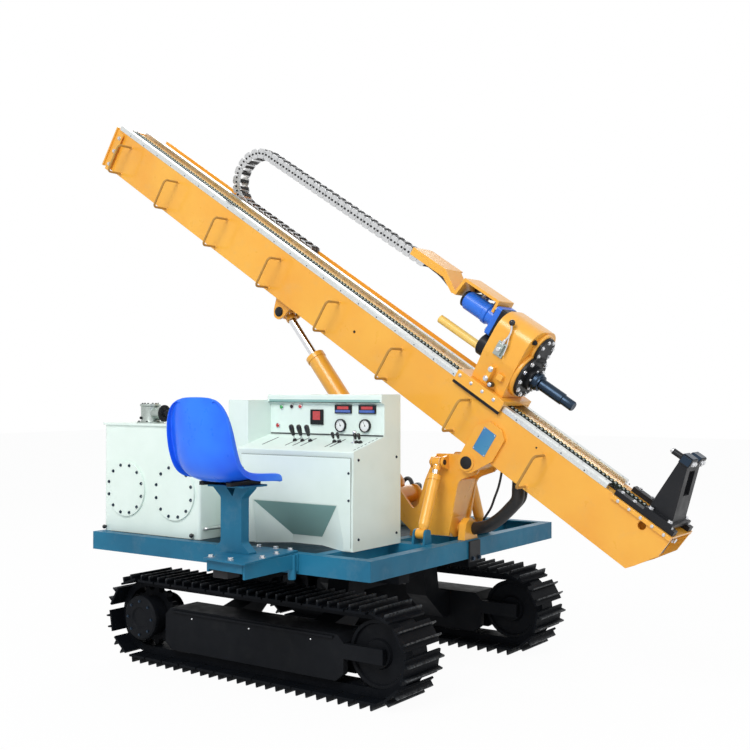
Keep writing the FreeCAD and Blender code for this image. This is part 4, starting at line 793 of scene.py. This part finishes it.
def console_trim():
    """Dark seams round the door, a painted shadow line under the hood, small screws and louvres
    behind.
    """
    seam_and_shadow_lines, screws = Shape(), Shape()
    x0, x1, z0, z1, w = -0.0815, 0.6525, 0.9805, 1.2115, 0.0015
    for u0, v0, u1, v1 in ((x0, z0, x1, z0 + w), (x0, z1 - w, x1, z1), (x0, z0, x0 + w, z1),
                           (x1 - w, z0, x1, z1), (x1 - w, 0.760, x1, z0)):
        seam_and_shadow_lines.box((u0, FACE - 0.0008, v0), (u1, FACE + 0.001, v1))
    # Black line along the hood's lower edge: painted shadow under the hood.
    seam_and_shadow_lines.box((LEFT + 0.004, -0.5158, 1.4855), (RIGHT - 0.004, -0.514, 1.489))
    seam_and_shadow_lines.box((LEFT + 0.006, -0.495, 1.3115), (RIGHT - 0.006, -0.489, 1.3165))
    screws.bolts([(x, FACE - 0.003, z) for x in (0.640, -0.070) for z in (1.135, 0.998)],
                 (0, -1, 0), 0.011)
    screws.bolts([(SIDE_LEFT, y, z) for y in (-0.62, -0.40) for z in (1.47, 0.80)], (-1, 0, 0),
                 0.012)
    screws.bolts([(RIGHT, y, z) for y in (-0.72, -0.38) for z in (0.80, 1.20)], (1, 0, 0), 0.012)
    seam_and_shadow_lines.piece("console_seams_and_painted_shadow", BLACK)
    screws.piece("console_screws", DARK_STEEL)
    back = Shape()
    for i in range(9):
        z = 0.92 + 0.022 * i
        back.prism([(-0.3405, z), (-0.334, z - 0.004), (-0.334, z + 0.004), (-0.3405, z + 0.010)],
                   "X", 0.10, 0.44)
    back.piece("console_louvres", MINT)


def tank_trim():
    """Cover bolts, drain plugs, level pipe and the bolted breather."""
    bolts, plugs = Shape(), Shape()
    for x in (-0.8598, -0.4713):
        bolts.bolts([(x + 0.138 * c, -0.890, 0.990 + 0.138 * s) for c, s in around(12, 0.5)],
                    (0, -1, 0), 0.015)
    bolts.piece("tank_cover_bolts", DARK_STEEL)
    for x in (-1.030, -0.331):
        plugs.rod((x, -0.878, 0.764), (x, -0.888, 0.764), 0.007, 12)
        plugs.ball((x, -0.893, 0.763), 0.012)
    plugs.rod((-0.285, -0.70, 0.775), (-0.262, -0.70, 0.775), 0.009, 12)
    plugs.ball((-0.256, -0.70, 0.775), 0.015)
    plugs.piece("tank_plugs", KNOB)
    pipe = Shape()
    pipe.tube(curve_points([(-0.285, -0.84, 0.80), (-0.266, -0.84, 0.80), (-0.264, -0.80, 0.80),
                            (-0.264, -0.60, 0.80), (-0.264, -0.55, 0.805)], 6), 0.009, 12)
    pipe.ring((-0.262, -0.560, 0.804), (-0.262, -0.545, 0.804), 0.015, 0.006, 20)
    pipe.piece("tank_pipe", LINK)
    x, y, z, side = -0.760, -0.790, 1.365, 1.365 + 0.056
    can = Shape()
    can.lathe((x, y, z), (x, y, z + 1),
              ((0, 0.076), (0.008, 0.076), (0.009, 0.056), (0.016, 0.054), (0.094, 0.054),
               (0.097, 0.059), (0.106, 0.059), (0.110, 0.055), (0.110, 0.01)), 40)
    can.lathe((x + 0.040, y, side), (x + 1, y, side),
              ((0, 0.038), (0.062, 0.038), (0.064, 0.044), (0.070, 0.044), (0.070, 0.01)), 32)
    stands_for(can.piece("breather_can", GREY), "filler_breather")
    dark = Shape()
    dark.ring((x + 0.110, y, side), (x + 0.118, y, side), 0.048, 0.020, 32)
    dark.rod((x + 0.110, y, side), (x + 0.135, y, side), 0.018, 16)
    for c, s in around(6):
        dark.bolt((x + 0.045 * c, y + 0.045 * s, z + 0.110), (0, 0, 1), 0.010)
        dark.bolt((x + 0.066 * c, y + 0.066 * s, z + 0.008), (0, 0, 1), 0.012)
        dark.bolt((x + 0.118, y + 0.036 * c, side + 0.036 * s), (1, 0, 0), 0.011)
    dark.ball((x - 0.020, y - 0.055, z + 0.030), 0.008)
    dark.piece("breather_fittings", BLACK)


# Deck and undercarriage

def deck_trim():
    """Ledges and grease nipples of the side beams, wheel bolts and a bracket."""
    ledges, grease, bolts, block = Shape(), Shape(), Shape(), Shape()
    for sign in (-1, 1):
        low, high = sorted((sign * 0.7945, sign * 0.809))
        ledges.box((-0.567, low, 0.308), (0.567, high, 0.320))
        for x in (-0.42, 0.0, 0.42):
            grease.ball((x, sign * 0.796, 0.285), 0.006, 10)
        bolts.bolts([(-0.805 + 0.095 * c, sign * 0.827, 0.25 + 0.095 * s)
                     for c, s in around(8)], (0, sign, 0), 0.014)
    ledges.piece("side_beam_ledges", RUNNING, 0.002)
    block.box((0.911, -0.050, 0.624), (0.922, 0.064, 0.736))
    block.piece("deck_bracket", BLACK, 0.003)
    bolts.bolts([(0.922, -0.020, 0.642), (0.922, 0.045, 0.642)], (1, 0, 0), 0.022)
    bolts.piece("deck_bolts", DARK_STEEL)
    grease.piece("grease_nipples", STEEL)


def motor_dress():
    """Cooling ribs, terminal box and bolts of the electric motor."""
    start, y, z = -0.900, 0.600, 0.932
    ribs, cap, bolts = Shape(), Shape(), Shape()
    for c, s in around(28, 0.5):
        out, side = Vector((0, c, s)), Vector((0, -s, c)) * 0.002
        foot = Vector((start + 0.070, y, z)) + out * 0.158
        ribs.faces([[p - side, p + side, p + side + out * 0.014, p - side + out * 0.014]
                    for p in (foot, foot + Vector((0.345, 0, 0)))])
    ribs.piece("motor_ribs", GREY)
    cap.box((start + 0.14, y - 0.06, z + 0.160), (start + 0.30, y + 0.06, z + 0.215))
    cap.piece("terminal_box", GREY, 0.004)
    bolts.bolts([(start + 0.465, y + 0.148 * c, z + 0.148 * s) for c, s in around(8)],
                (1, 0, 0), 0.020)
    bolts.bolts([(start + x, y + side, z + 0.215) for x in (0.155, 0.285)
                 for side in (-0.045, 0.045)], (0, 0, 1), 0.012)
    bolts.piece("motor_bolts", STEEL)


def hose(name, points, radius):
    """Smooth hose through the given places on the deck."""
    shape = Shape()
    shape.tube(curve_points(points, 10), radius, 14)
    shape.piece(name, RUBBER)


def deck_hoses():
    """Hoses from the pump to the support, fixed at both ends, and their valve block."""
    block, fittings, top = Shape(), Shape(), 0.86
    block.box((0.02, 0.30, DECK_TOP), (0.30, 0.46, top))
    block.piece("valve_block", GREY, 0.004)
    for i, (far, lift) in enumerate(((0.30, 0.05), (0.26, 0.02), (0.22, 0.06), (0.18, 0.03))):
        x = 0.06 + 0.066 * i
        fittings.lathe((x, 0.38, top), (x, 0.38, 1), ((0, 0.018), (0.012, 0.018), (0.014, 0.013),
                                                      (0.034, 0.013), (0.036, 0.009)), 6)
        hose(f"deck_hose_{i}",
             [(x, 0.38, 0.885), (x + 0.01, 0.375, 0.93 + lift), (x + 0.09, 0.34, 0.95 + lift),
              (0.42, far, 0.86), (0.54, far - 0.02, 0.775), (0.66, far + 0.01, 0.760),
              (0.80, far - 0.01, 0.762), (0.87, far - 0.03, 0.768)], 0.0125)
    fittings.piece("valve_fittings", STEEL)
    hose("pump_hose", [(-0.30, 0.60, 0.90), (-0.22, 0.60, 0.90), (-0.10, 0.56, 0.84),
                       (-0.03, 0.46, 0.80), (0.02, 0.40, 0.80)], 0.016)


def mast_hoses():
    """Hose bundle and cable that follow the mast from its support."""
    low = Vector((0.915, 0.03, 0.800))
    high = Vector((1.188, 0.0, 1.030))
    points = curve_points([(0.880, 0.05, 0.792), low, (0.970, 0.01, 0.812), (1.018, 0.0, 0.827),
                           (1.081, 0.0, 0.869), (1.137, 0.0, 0.921), (1.181, 0.0, 0.972), high,
                           (1.190, 0.0, 1.085), (1.185, 0.0, 1.110)], 12)
    for name, offset, radius in (("hose_bundle", (0, 0, 0), 0.034),
                                 ("hose_bundle_far", (0.0, 0.060, 0.004), 0.022)):
        shape = Shape(None)
        shape.tube([p + Vector(offset) for p in points], radius, 18)
        made = shape.piece(name, RUBBER)
        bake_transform(made)
    shape = Shape(None)
    thin = [(0.960, 0.03, 0.850), (1.010, 0.02, 0.915), (1.046, 0.0, 0.977), (1.071, 0.0, 1.04),
            (1.089, 0.0, 1.12), (1.088, 0.0, 1.165)]
    shape.tube(curve_points(thin, 10), 0.0065, 10)
    made = shape.piece("mast_cable", RUBBER)
    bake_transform(made)


# Mast

SPINDLE_N, UPPER_N = 0.548, 0.700
CHAIN_Y = (-0.060, -0.018)


def feed_chain():
    """Roller chain: waisted side plates and rollers, two links to each notch."""
    plates, rollers, bed, strip = (Shape("mast") for _ in range(4))
    pitch, start, count, middle, sheet = 0.0254, -3.408, 175, 0.3585, 0.0028
    for i in range(count):
        s = start + pitch * i
        rollers.rod((s, CHAIN_Y[0] + 0.004, middle), (s, CHAIN_Y[1] - 0.004, middle), 0.0075, 8)
        inset = sheet if i % 2 else 0.0
        ends = [(s - 0.008, 0), (s - 0.005, 0.0105), (s + 0.0127, 0.0045),
                (s + pitch + 0.005, 0.0105), (s + pitch + 0.008, 0), (s + pitch + 0.005, -0.0105),
                (s + 0.0127, -0.0045), (s - 0.005, -0.0105)]
        for low in (CHAIN_Y[0] + inset, CHAIN_Y[1] - inset - sheet):
            plates.prism([(u, middle + v) for u, v in ends], "Y", low, low + sheet)
    stands_for(plates.piece("feed_chain_plates", CHAIN), "feed_chain")
    rollers.piece("feed_chain_rollers", GREY)
    bed.box((-3.42, -0.068, 0.341), (1.050, -0.010, 0.3435))
    bed.piece("feed_chain_bed", BLACK)
    strip.box((-3.43, -0.008, 0.341), (0.745, 0.052, 0.350))
    strip.piece("feed_strip", PALE_YELLOW, 0.001)


def mast_trim():
    """Rail bolts, plates, welds of the bent bars, screws, pin ends, and a black plate inside the
    mast's end that is painted shade.
    """
    dots, steel, plate, flange, ends, welds, pin_ends_and_shade = (Shape("mast") for _ in range(7))
    for i in range(28):
        s = -3.37 + 0.15 * i
        for y in (-0.106, 0.106):
            dots.rod((s, y, 0.3660), (s, y, 0.3712), 0.0055, 12)
        for y in (-0.133, 0.133):
            dots.rod((s + 0.04, y, 0.350), (s + 0.04, y * 1.004, 0.350), 0.004, 10)
    dots.piece("rail_bolts", DARK_STEEL)
    plate.box((-0.012, -0.1475, 0.085), (0.072, -0.146, 0.222))
    plate.piece("blank_plate", PLATE_BLUE, 0.0006)
    steel.bolts([(s, -0.1475, n) for s in (-0.006, 0.066) for n in (0.092, 0.215)], (0, -1, 0),
                0.006)
    for side in (-1, 1):
        for i in range(5):
            steel.bolt((0.80 + 0.068 * i, side * 0.150, 0.330), (0, side, 0), 0.014)
            steel.bolt((0.79 + 0.072 * i, side * 0.117, 0.367), (0, 0, 1), 0.018)
        steel.bolts([(s, side * 0.110, 0.385) for s in (0.945, 1.055)], (0, 0, 1), 0.024)
        welds.ring((0, side * 0.146, 0), (0, side * 0.152, 0), 0.046, 0.028, 40)
        pin_ends_and_shade.lathe((-1.608, side * 0.078, -0.007), (-1.608, side, -0.007),
                   ((0, 0.030), (0.004, 0.030), (0.006, 0.026), (0.010, 0.026), (0.012, 0.021)), 28)
        pin_ends_and_shade.lathe((0, side * 0.1515, 0), (0, side, 0), ((0, 0.034), (0.004, 0.034),
                                                         (0.006, 0.030)), 32)
    steel.rod((1.085, -0.02, 0.300), (1.104, -0.02, 0.300), 0.010, 12)
    steel.bolt((1.092, -0.02, 0.300), (1, 0, 0), 0.028)
    steel.piece("mast_bolts", STEEL)
    flange.box((-3.428, -0.1500, 0.060), (-3.380, -0.1462, 0.330))
    flange.piece("mast_end_flange", YELLOW, 0.001)
    ends.bolts([(-3.404, -0.150, n) for n in (0.105, 0.200, 0.295)], (0, -1, 0), 0.022)
    ends.piece("mast_end_bolts", STEEL)
    for i in range(8):
        s = -3.280 + 0.5184 * i
        for n in (0.286, 0.092):
            welds.lathe((s, -0.130, n), (s, -0.2, n), ((0, 0.0125), (0.002, 0.0115),
                                                       (0.006, 0.0075)), 14)
    welds.piece("mast_welds", YELLOW)
    pin_ends_and_shade.rod((0.291, -0.1295, 0.294), (0.291, -0.133, 0.294), 0.005, 10)
    pin_ends_and_shade.rod((-1.02, -0.1295, 0.20), (-1.02, -0.133, 0.20), 0.008, 12)
    # Black square plate on the end wall inside the mast's end: painted shade.
    pin_ends_and_shade.lathe((1.062, 0, 0.25), (1.064, 0, 0.25), ((0, 0.09), (0.004, 0.09)), 4)
    pin_ends_and_shade.piece("mast_pins_and_painted_shade_plate", BLACK)


def clamp_dress():
    """Steel jaw and bolts of the rod clamp."""
    jaw, bolts = Shape("mast"), Shape("mast")
    jaw.prism(mirrored([(0.004, 0.6745), (0.030, 0.6965), (0.094, 0.6965), (0.094, 0.7005),
                        (0.027, 0.7005), (0, 0.6785)]), "X", 0.934, 0.984)
    jaw.box((0.934, -0.100, 0.655), (0.984, -0.098, 0.692))
    jaw.piece("clamp_jaw_faces", DARK_STEEL, 0.0008)
    bolts.bolts([(0.930, y, 0.673) for y in (-0.045, 0.045, 0.082)], (-1, 0, 0), 0.022)
    bolts.bolts([(0.987, y, 0.673) for y in (-0.075, -0.045, 0.045, 0.075)], (1, 0, 0), 0.022)
    bolts.bolt((0.879, -0.074, 0.674), (-1, 0, 0), 0.026)
    bolts.piece("clamp_bolts", STEEL)


def eye_cover(body, name, eye, foot, boss, wide, neck, reach, across):
    """Painted eye of a cylinder's rod, with its neck."""
    eye, foot, across = Vector(eye), Vector(foot), Vector(across)
    back = (foot - eye).normalized()
    shape = Shape(body)
    shape.ring(eye - across * wide, eye + across * wide, boss + 0.0008, boss * 0.55, 32)
    shape.ring(eye + back * (boss * 0.85), eye + back * (reach + 0.001), neck + 0.0008,
               neck * 0.7, 28)
    shape.piece(name, YELLOW)


def rod_clamp():
    """Two posts with a window for the drill rod, between two runners, and their jaw."""
    shape, lips = Shape("mast"), Shape("mast")
    for sign in (-1, 1):
        low, high = sorted((sign * 0.084, sign * 0.132))
        shape.box((0.760, low, 0.3412), (1.104, high, 0.367))
        low, high = sorted((sign * 0.1302, sign * 0.150))
        lips.box((0.755, low, 0.319), (1.108, high, 0.341))
    foot, head = 0.385, 0.650
    shape.box((0.920, -0.130, 0.367), (1.080, 0.130, foot))

    def slope(n, start, change):
        return start + change * (n - foot) / (head - foot)
    for low, high, y0, y1 in ((foot, head, -0.088, -0.039), (foot, head, 0.039, 0.088),
                              (foot, 0.509, -0.039, 0.039), (0.628, head, -0.039, 0.039)):
        shape.prism([(slope(n, *side), n) for n, side in (
            (low, (0.925, 0.005)), (low, (1.061, -0.082)), (high, (1.061, -0.082)),
            (high, (0.925, 0.005)))], "Y", y0, y1)
    shape.prism(mirrored([(0.098, head), (0.098, 0.696), (0.026, 0.696), (0, 0.672)]), "X",
                0.930, 0.987)
    shape.rod((0.879, -0.074, 0.674), (0.930, -0.074, 0.674), 0.015, 24)
    stands_for(shape.piece("rod_clamp_post", BLACK), "rod_clamp")
    lips.piece("mast_lips", YELLOW, 0.002)


# Power head

BOX_REAR, BOX_FRONT, COVER = -0.240, -0.022, 0.016
MOTOR_REAR, FLANGE_REAR = -0.554, -0.317


def square(half, corner):
    """Outline round the upper shaft, with rounded corners."""
    return rounded([(y, UPPER_N + n, corner) for y, n in ((-half, -half), (half, -half),
                                                          (half, half), (-half, half))])


def housings():
    """Gearbox with its raised face and covers, motor, tubes and carriage."""
    box, dark, motor, tube, saddle, strips = (Shape("head") for _ in range(6))
    box.prism(rounded(mirrored([(0.112, 0.397), (0.145, 0.567, 0.120), (0.145, 0.797, 0.100)]),
                      10), "X", BOX_REAR, BOX_FRONT)
    for n, radius in ((SPINDLE_N, 0.136), (UPPER_N, 0.090)):
        box.rod((BOX_FRONT - 0.004, 0, n), (0.0, 0, n), radius, 64)
        cover = radius - 0.012
        dark.lathe((0, 0, n), (1, 0, n), ((0, cover), (0.014, cover), (COVER, cover - 0.002)),
                   64)
    stands_for(box.piece("gearbox_housing", YELLOW, 0.003), "gearbox")
    dark.lathe((COVER, 0, SPINDLE_N), (1, 0, SPINDLE_N), ((0, 0.068), (0.025, 0.068),
                                                          (0.028, 0.064)), 48)
    dark.lathe((BOX_REAR, 0, SPINDLE_N), (-1, 0, SPINDLE_N),
               ((0, 0.084), (0.022, 0.084), (0.022, 0.064), (0.088, 0.064), (0.092, 0.060)), 48)
    dark.prism(square(0.080, 0.012), "X", BOX_REAR - 0.045, BOX_REAR)
    stands_for(dark.piece("gearbox_black_covers", BLACK), "gearbox_covers")
    motor.lathe((MOTOR_REAR, 0, UPPER_N), (1, 0, UPPER_N),
                ((0, 0.040), (0.006, 0.046), (0.020, 0.046), (0.024, 0.054), (0.150, 0.054),
                 (0.156, 0.060), (0.178, 0.060), (0.184, 0.052), (0.240, 0.052)), 48)
    motor.prism(square(0.082, 0.014), "X", FLANGE_REAR, BOX_REAR - 0.045)
    stands_for(motor.piece("feed_head_motor", MOTOR, 0.001), "head_motor")
    tube.ring((-0.636, 0, 0.522), (-0.332, 0, 0.522), 0.024, 0.017, 32)
    stands_for(tube.piece("rod_guard_tube", PALE_YELLOW), "rear_tube")
    saddle.prism([(-0.154, 0.397), (-0.154, 0.335), (-0.142, 0.335), (-0.142, 0.3713),
                  (0.142, 0.3713), (0.142, 0.335), (0.154, 0.335), (0.154, 0.397)], "X", -0.305,
                 0.020)
    stands_for(saddle.piece("head_carriage", YELLOW, 0.001), "carriage")
    for low in (-0.153, 0.143):
        strips.box((-0.305, low, 0.319), (0.020, low + 0.010, 0.335))
    stands_for(strips.piece("head_wear_strips", BLACK), "wear_strips")
    nose = Shape("spindle")
    nose.lathe((0.045, 0, SPINDLE_N), (1, 0, SPINDLE_N),
               ((0, 0.050), (0.022, 0.050), (0.030, 0.044), (0.038, 0.044), (0.042, 0.032),
                (0.185, 0.032), (0.189, 0.027), (0.251, 0.027), (0.257, 0.023)), 48)
    stands_for(nose.piece("spindle_nose", DARK_STEEL), "spindle")


def guard():
    """Sheet bent over the motor, with a flanged arm back to the hose chain."""
    t, near, far, arm_far = 0.016, -0.070, 0.094, 0.120
    rear, front, bend, top, arm, low = -0.581, -0.328, -0.714, 0.806, 0.788, 0.716
    shape = Shape("head")
    strip = [(bend, arm - 0.002), (rear - 0.017, low), (rear, top, 0.004), (front, top, 0.004),
             (front, low + 0.040), (front - t, low + 0.040), (front - t, top - t),
             (rear + t, top - t), (rear - 0.003, low - 0.018), (rear - 0.023, low - 0.018),
             (bend - 0.006, arm - t - 0.002)]
    shape.prism(rounded(strip), "Y", near, far)
    shape.box((front - t, near, low + 0.018), (front, -0.046, low + 0.040))
    shape.prism([(-0.964, arm), (bend, arm - 0.002), (bend - 0.006, arm - t - 0.002),
                 (-0.964, arm - t)], "Y", near, arm_far)
    shape.prism([(-0.964, arm - t), (bend - 0.006, arm - t - 0.002), (rear - 0.023, low - 0.018),
                 (rear - 0.031, low - 0.022), (bend + 0.008, arm - 0.046), (-0.964, arm - 0.044)],
                "Y", near, near + 0.006)
    shape.box((-1.040, arm_far - 0.014, 0.732), (-0.890, 0.256, 0.744))
    shape.box((-0.960, arm_far - 0.014, 0.732), (-0.890, arm_far, arm))
    stands_for(shape.piece("motor_guard", YELLOW, 0.001), "head_guard")


def head_bolts():
    """Bolts of the covers, flange, carriage and guard, and the motor's dark ends."""
    bright, dark = Shape("head"), Shape("head")
    # a bolt is left out where the other cover overlaps it
    for n, other, count, first, radius, reach, size in (
            (SPINDLE_N, UPPER_N, 12, 3.5, 0.107, 0.088, 0.022),
            (UPPER_N, SPINDLE_N, 8, 0.5, 0.062, 0.135, 0.018)):
        places = [(COVER, radius * c, n + radius * s) for c, s in around(count, first)]
        bright.bolts([p for p in places if math.hypot(p[1], p[2] - other) > reach], (1, 0, 0),
                     size)
    for s, out, radius, size in ((0.044, 1, 0.058, 0.013), (BOX_REAR - 0.022, -1, 0.074, 0.015)):
        bright.bolts([(s, radius * c, SPINDLE_N + radius * d) for c, d in around(6)],
                     (out, 0, 0), size)
    bright.bolts([(FLANGE_REAR, y, UPPER_N + n) for y in (-0.062, 0.062)
                  for n in (-0.062, 0.062)], (-1, 0, 0), 0.022)
    for side in (-1, 1):
        bright.bolts([(s, side * 0.154, 0.372) for s in (-0.28, -0.20, -0.12, -0.04)],
                     (0, side, 0), 0.016)
    bright.bolts([(-0.344, y, 0.790) for y in (-0.045, 0.070)], (-1, 0, 0), 0.018)
    bright.piece("head_bolts", STEEL)
    dark.lathe((BOX_FRONT, -0.105, 0.735), (1, -0.105, 0.735),
               ((0, 0.016), (0.008, 0.016), (0.010, 0.012), (0.016, 0.012)), 6)
    dark.lathe((MOTOR_REAR, 0, UPPER_N), (-1, 0, UPPER_N),
               ((0, 0.040), (0.006, 0.038), (0.008, 0.020), (0.016, 0.018)), 32)
    dark.ring((MOTOR_REAR - 0.002, 0, UPPER_N), (-0.540, 0, UPPER_N), 0.0475, 0.030, 36)
    dark.piece("head_dark_fittings", BLACK)


def gear_lever():
    """Ball lever with its chromed link and selector block, and the latch before it."""
    block, rods, knobs, stub, latch = (Shape("head") for _ in range(5))
    near = -0.145
    line, link = near - 0.012, near - 0.018
    block.box((-0.166, near - 0.024, 0.582), (-0.130, near, 0.646))
    block.box((-0.178, near - 0.010, 0.574), (-0.118, near, 0.654))
    stands_for(block.piece("gear_selector", GREY, 0.002), "shift_lever")
    rods.rod((-0.148, line, 0.640), (-0.146, line, 0.672), 0.010, 18)
    rods.tube(curve_points([(-0.146, line, 0.668), (-0.138, near - 0.013, 0.700),
                            (-0.141, line, 0.728), (-0.158, line, 0.760)], 6), 0.0055, 12)
    rods.rod((-0.148, near - 0.024, 0.614), (-0.148, near - 0.036, 0.614), 0.012, 18)
    rods.tube([(-0.135, link, 0.707), (-0.118, link, 0.650), (-0.112, link, 0.600)], 0.004, 10)
    rods.piece("gear_lever_rods", CHROME)
    knobs.ball((-0.160, line, 0.768), 0.017)
    knobs.rod((-0.100, -0.128, 0.428), (-0.100, -0.160, 0.428), 0.015, 20)
    knobs.piece("gear_lever_knobs", KNOB)
    stub.box((-0.094, -0.150, 0.470), (-0.058, -0.120, 0.504))
    stub.box((-0.150, -0.162, 0.424), (-0.122, -0.120, 0.518))
    stub.piece("latch_blocks", YELLOW, 0.003)
    latch.bolts([(-0.136, -0.162, n) for n in (0.444, 0.500)], (0, -1, 0), 0.024)
    latch.bolt((-0.100, -0.160, 0.428), (0, -1, 0), 0.018)
    latch.piece("latch_bolts", STEEL)


def head_hoses():
    """Hoses from the motor along the guard's arm to the hose chain."""
    ports = Shape("head")
    starts = ((-0.470, 0.060, 0.0), (-0.470, 0.020, 0.024), (-0.400, 0.060, 0.046))
    for i, (s, y, fall) in enumerate(starts):
        ports.lathe((s, y, UPPER_N + 0.040), (s, y, 1), ((0, 0.016), (0.020, 0.016), (0.022, 0.012),
                                                        (0.034, 0.012)), 6)
        shape, end_y = Shape("head"), 0.185 + 0.024 * i
        shape.tube(curve_points([(s, y, 0.770), (s - 0.04, y + 0.02, 0.782 - fall * 0.3),
                                 (-0.60, 0.105 + 0.01 * i, 0.752 - fall),
                                 (-0.74, 0.135 + 0.012 * i, 0.715 - fall),
                                 (-0.88, end_y, 0.690 - fall * 0.4),
                                 (-0.985, end_y, 0.695)], 8), 0.0125, 14)
        shape.piece(f"head_hose_{i}", RUBBER)
    ports.piece("motor_ports", STEEL)


seat()
seat_stand()
seat_arm_bolts()
cabinet()
panel()
levers()
console_trim()
tank_trim()
deck_trim()
motor_dress()
deck_hoses()
mast_hoses()
feed_chain()
mast_trim()
rod_clamp()
clamp_dress()
TILT_FOOT, TILT_EYE = (0.450, 0, 0.960), (-0.4002, 0, 2.0304)
eye_cover("tilt_rod", "tilt_rod_eye", TILT_EYE, TILT_FOOT, 0.042, 0.0305, 0.0315, 0.062, (0, 1, 0))
for side, sign in (("right", -1), ("left", 1)):
    eye_cover(f"roll_rod_{side}", f"roll_rod_eye_{side}", (0.780, sign * 0.150, 1.165),
              (0.780, sign * 0.310, 0.795), 0.027, 0.0245, 0.02025, 0.046, (1, 0, 0))
housings()
guard()
head_bolts()
gear_lever()
head_hoses()


# Camera, light and floor

def look():
    """Camera as it was fitted to the photo."""
    data = bpy.data.cameras.new("camera")
    camera = bpy.data.objects.new("camera", data)
    bpy.context.scene.collection.objects.link(camera)
    data.lens, data.sensor_width = 52.6, 36.0
    camera.matrix_world = (MACHINE @ Matrix.Translation((3.920, -5.184, 1.552))
                           @ Matrix.Rotation(math.radians(35.23), 4, "Z")
                           @ Matrix.Rotation(math.radians(90.80), 4, "X"))
    bpy.context.scene.camera = camera


def lamp(name, place, size, power):
    """Square lamp turned to the middle of the machine."""
    data = bpy.data.lights.new(name, "AREA")
    data.size, data.energy = size, power
    made = bpy.data.objects.new(name, data)
    bpy.context.scene.collection.objects.link(made)
    made.location = place
    made.rotation_euler = (Vector((0, 0, 1)) - Vector(place)).to_track_quat("-Z", "Y").to_euler()


def seen_white(t):
    """White for what the camera, metal and glass see past the object."""
    path = t.add("ShaderNodeLightPath")
    glossy = t.maths("MAXIMUM", path.outputs["Is Glossy Ray"],
                     path.outputs["Is Transmission Ray"])
    return t.maths("MAXIMUM", path.outputs["Is Camera Ray"], glossy)


def floor():
    """White ground that keeps the machine's shadow."""
    shape, reach = Shape(None, Matrix.Identity(4)), 30
    shape.mesh.faces.new([shape.mesh.verts.new((x * reach, y * reach, 0))
                          for x, y in ((-1, -1), (1, -1), (1, 1), (-1, 1))])
    t = Tree("floor")
    t.look(Base_Color=t.mix(t.spread(t.noise(0.8), 0.3, 0.7), (0.90, 0.90, 0.90),
                            (0.88, 0.88, 0.88)), Roughness=0.8, Specular_IOR_Level=0.1)
    white = t.add("ShaderNodeEmission")
    both = t.add("ShaderNodeMixShader")
    # the share that isn't white keeps the machine's shadow
    white_share = 0.96
    t.join(t.maths("MULTIPLY", seen_white(t), white_share), both.inputs["Fac"])
    t.join(t.shader.outputs["BSDF"], both.inputs[1])
    t.join(white.outputs["Emission"], both.inputs[2])
    t.join(both.outputs["Shader"], t.output.inputs["Surface"])
    shape.piece("floor", t.material)


def world():
    """Soft sky light, seen as white by the camera, metal and glass."""
    made = bpy.data.worlds.new("studio")
    bpy.context.scene.world = made
    made.use_nodes = True
    tree = made.node_tree
    tree.nodes.clear()
    output, soft, white, mix, path = (tree.nodes.new(kind) for kind in (
        "ShaderNodeOutputWorld", "ShaderNodeBackground", "ShaderNodeBackground",
        "ShaderNodeMixShader", "ShaderNodeLightPath"))
    soft.inputs["Color"].default_value = (0.95, 0.97, 1.0, 1)
    soft.inputs["Strength"].default_value = 0.5
    white.inputs["Strength"].default_value = 1.0
    white.inputs["Color"].default_value = (1, 1, 1, 1)
    seen = path.outputs["Is Camera Ray"]
    for ray in ("Is Glossy Ray", "Is Transmission Ray"):
        more = tree.nodes.new("ShaderNodeMath")
        more.operation = "MAXIMUM"
        tree.links.new(seen, more.inputs[0])
        tree.links.new(path.outputs[ray], more.inputs[1])
        seen = more.outputs["Value"]
    tree.links.new(seen, mix.inputs["Fac"])
    tree.links.new(soft.outputs["Background"], mix.inputs[1])
    tree.links.new(white.outputs["Background"], mix.inputs[2])
    tree.links.new(mix.outputs["Shader"], output.inputs["Surface"])


look()
floor()
world()
lamp("key", (1.5, -6.5, 6.5), 4.0, 450)
lamp("fill", (6.5, -1.0, 4.0), 4.0, 60)
lamp("back", (-4.0, 5.5, 5.5), 4.0, 180)
bpy.context.scene.view_settings.view_transform = "Standard"
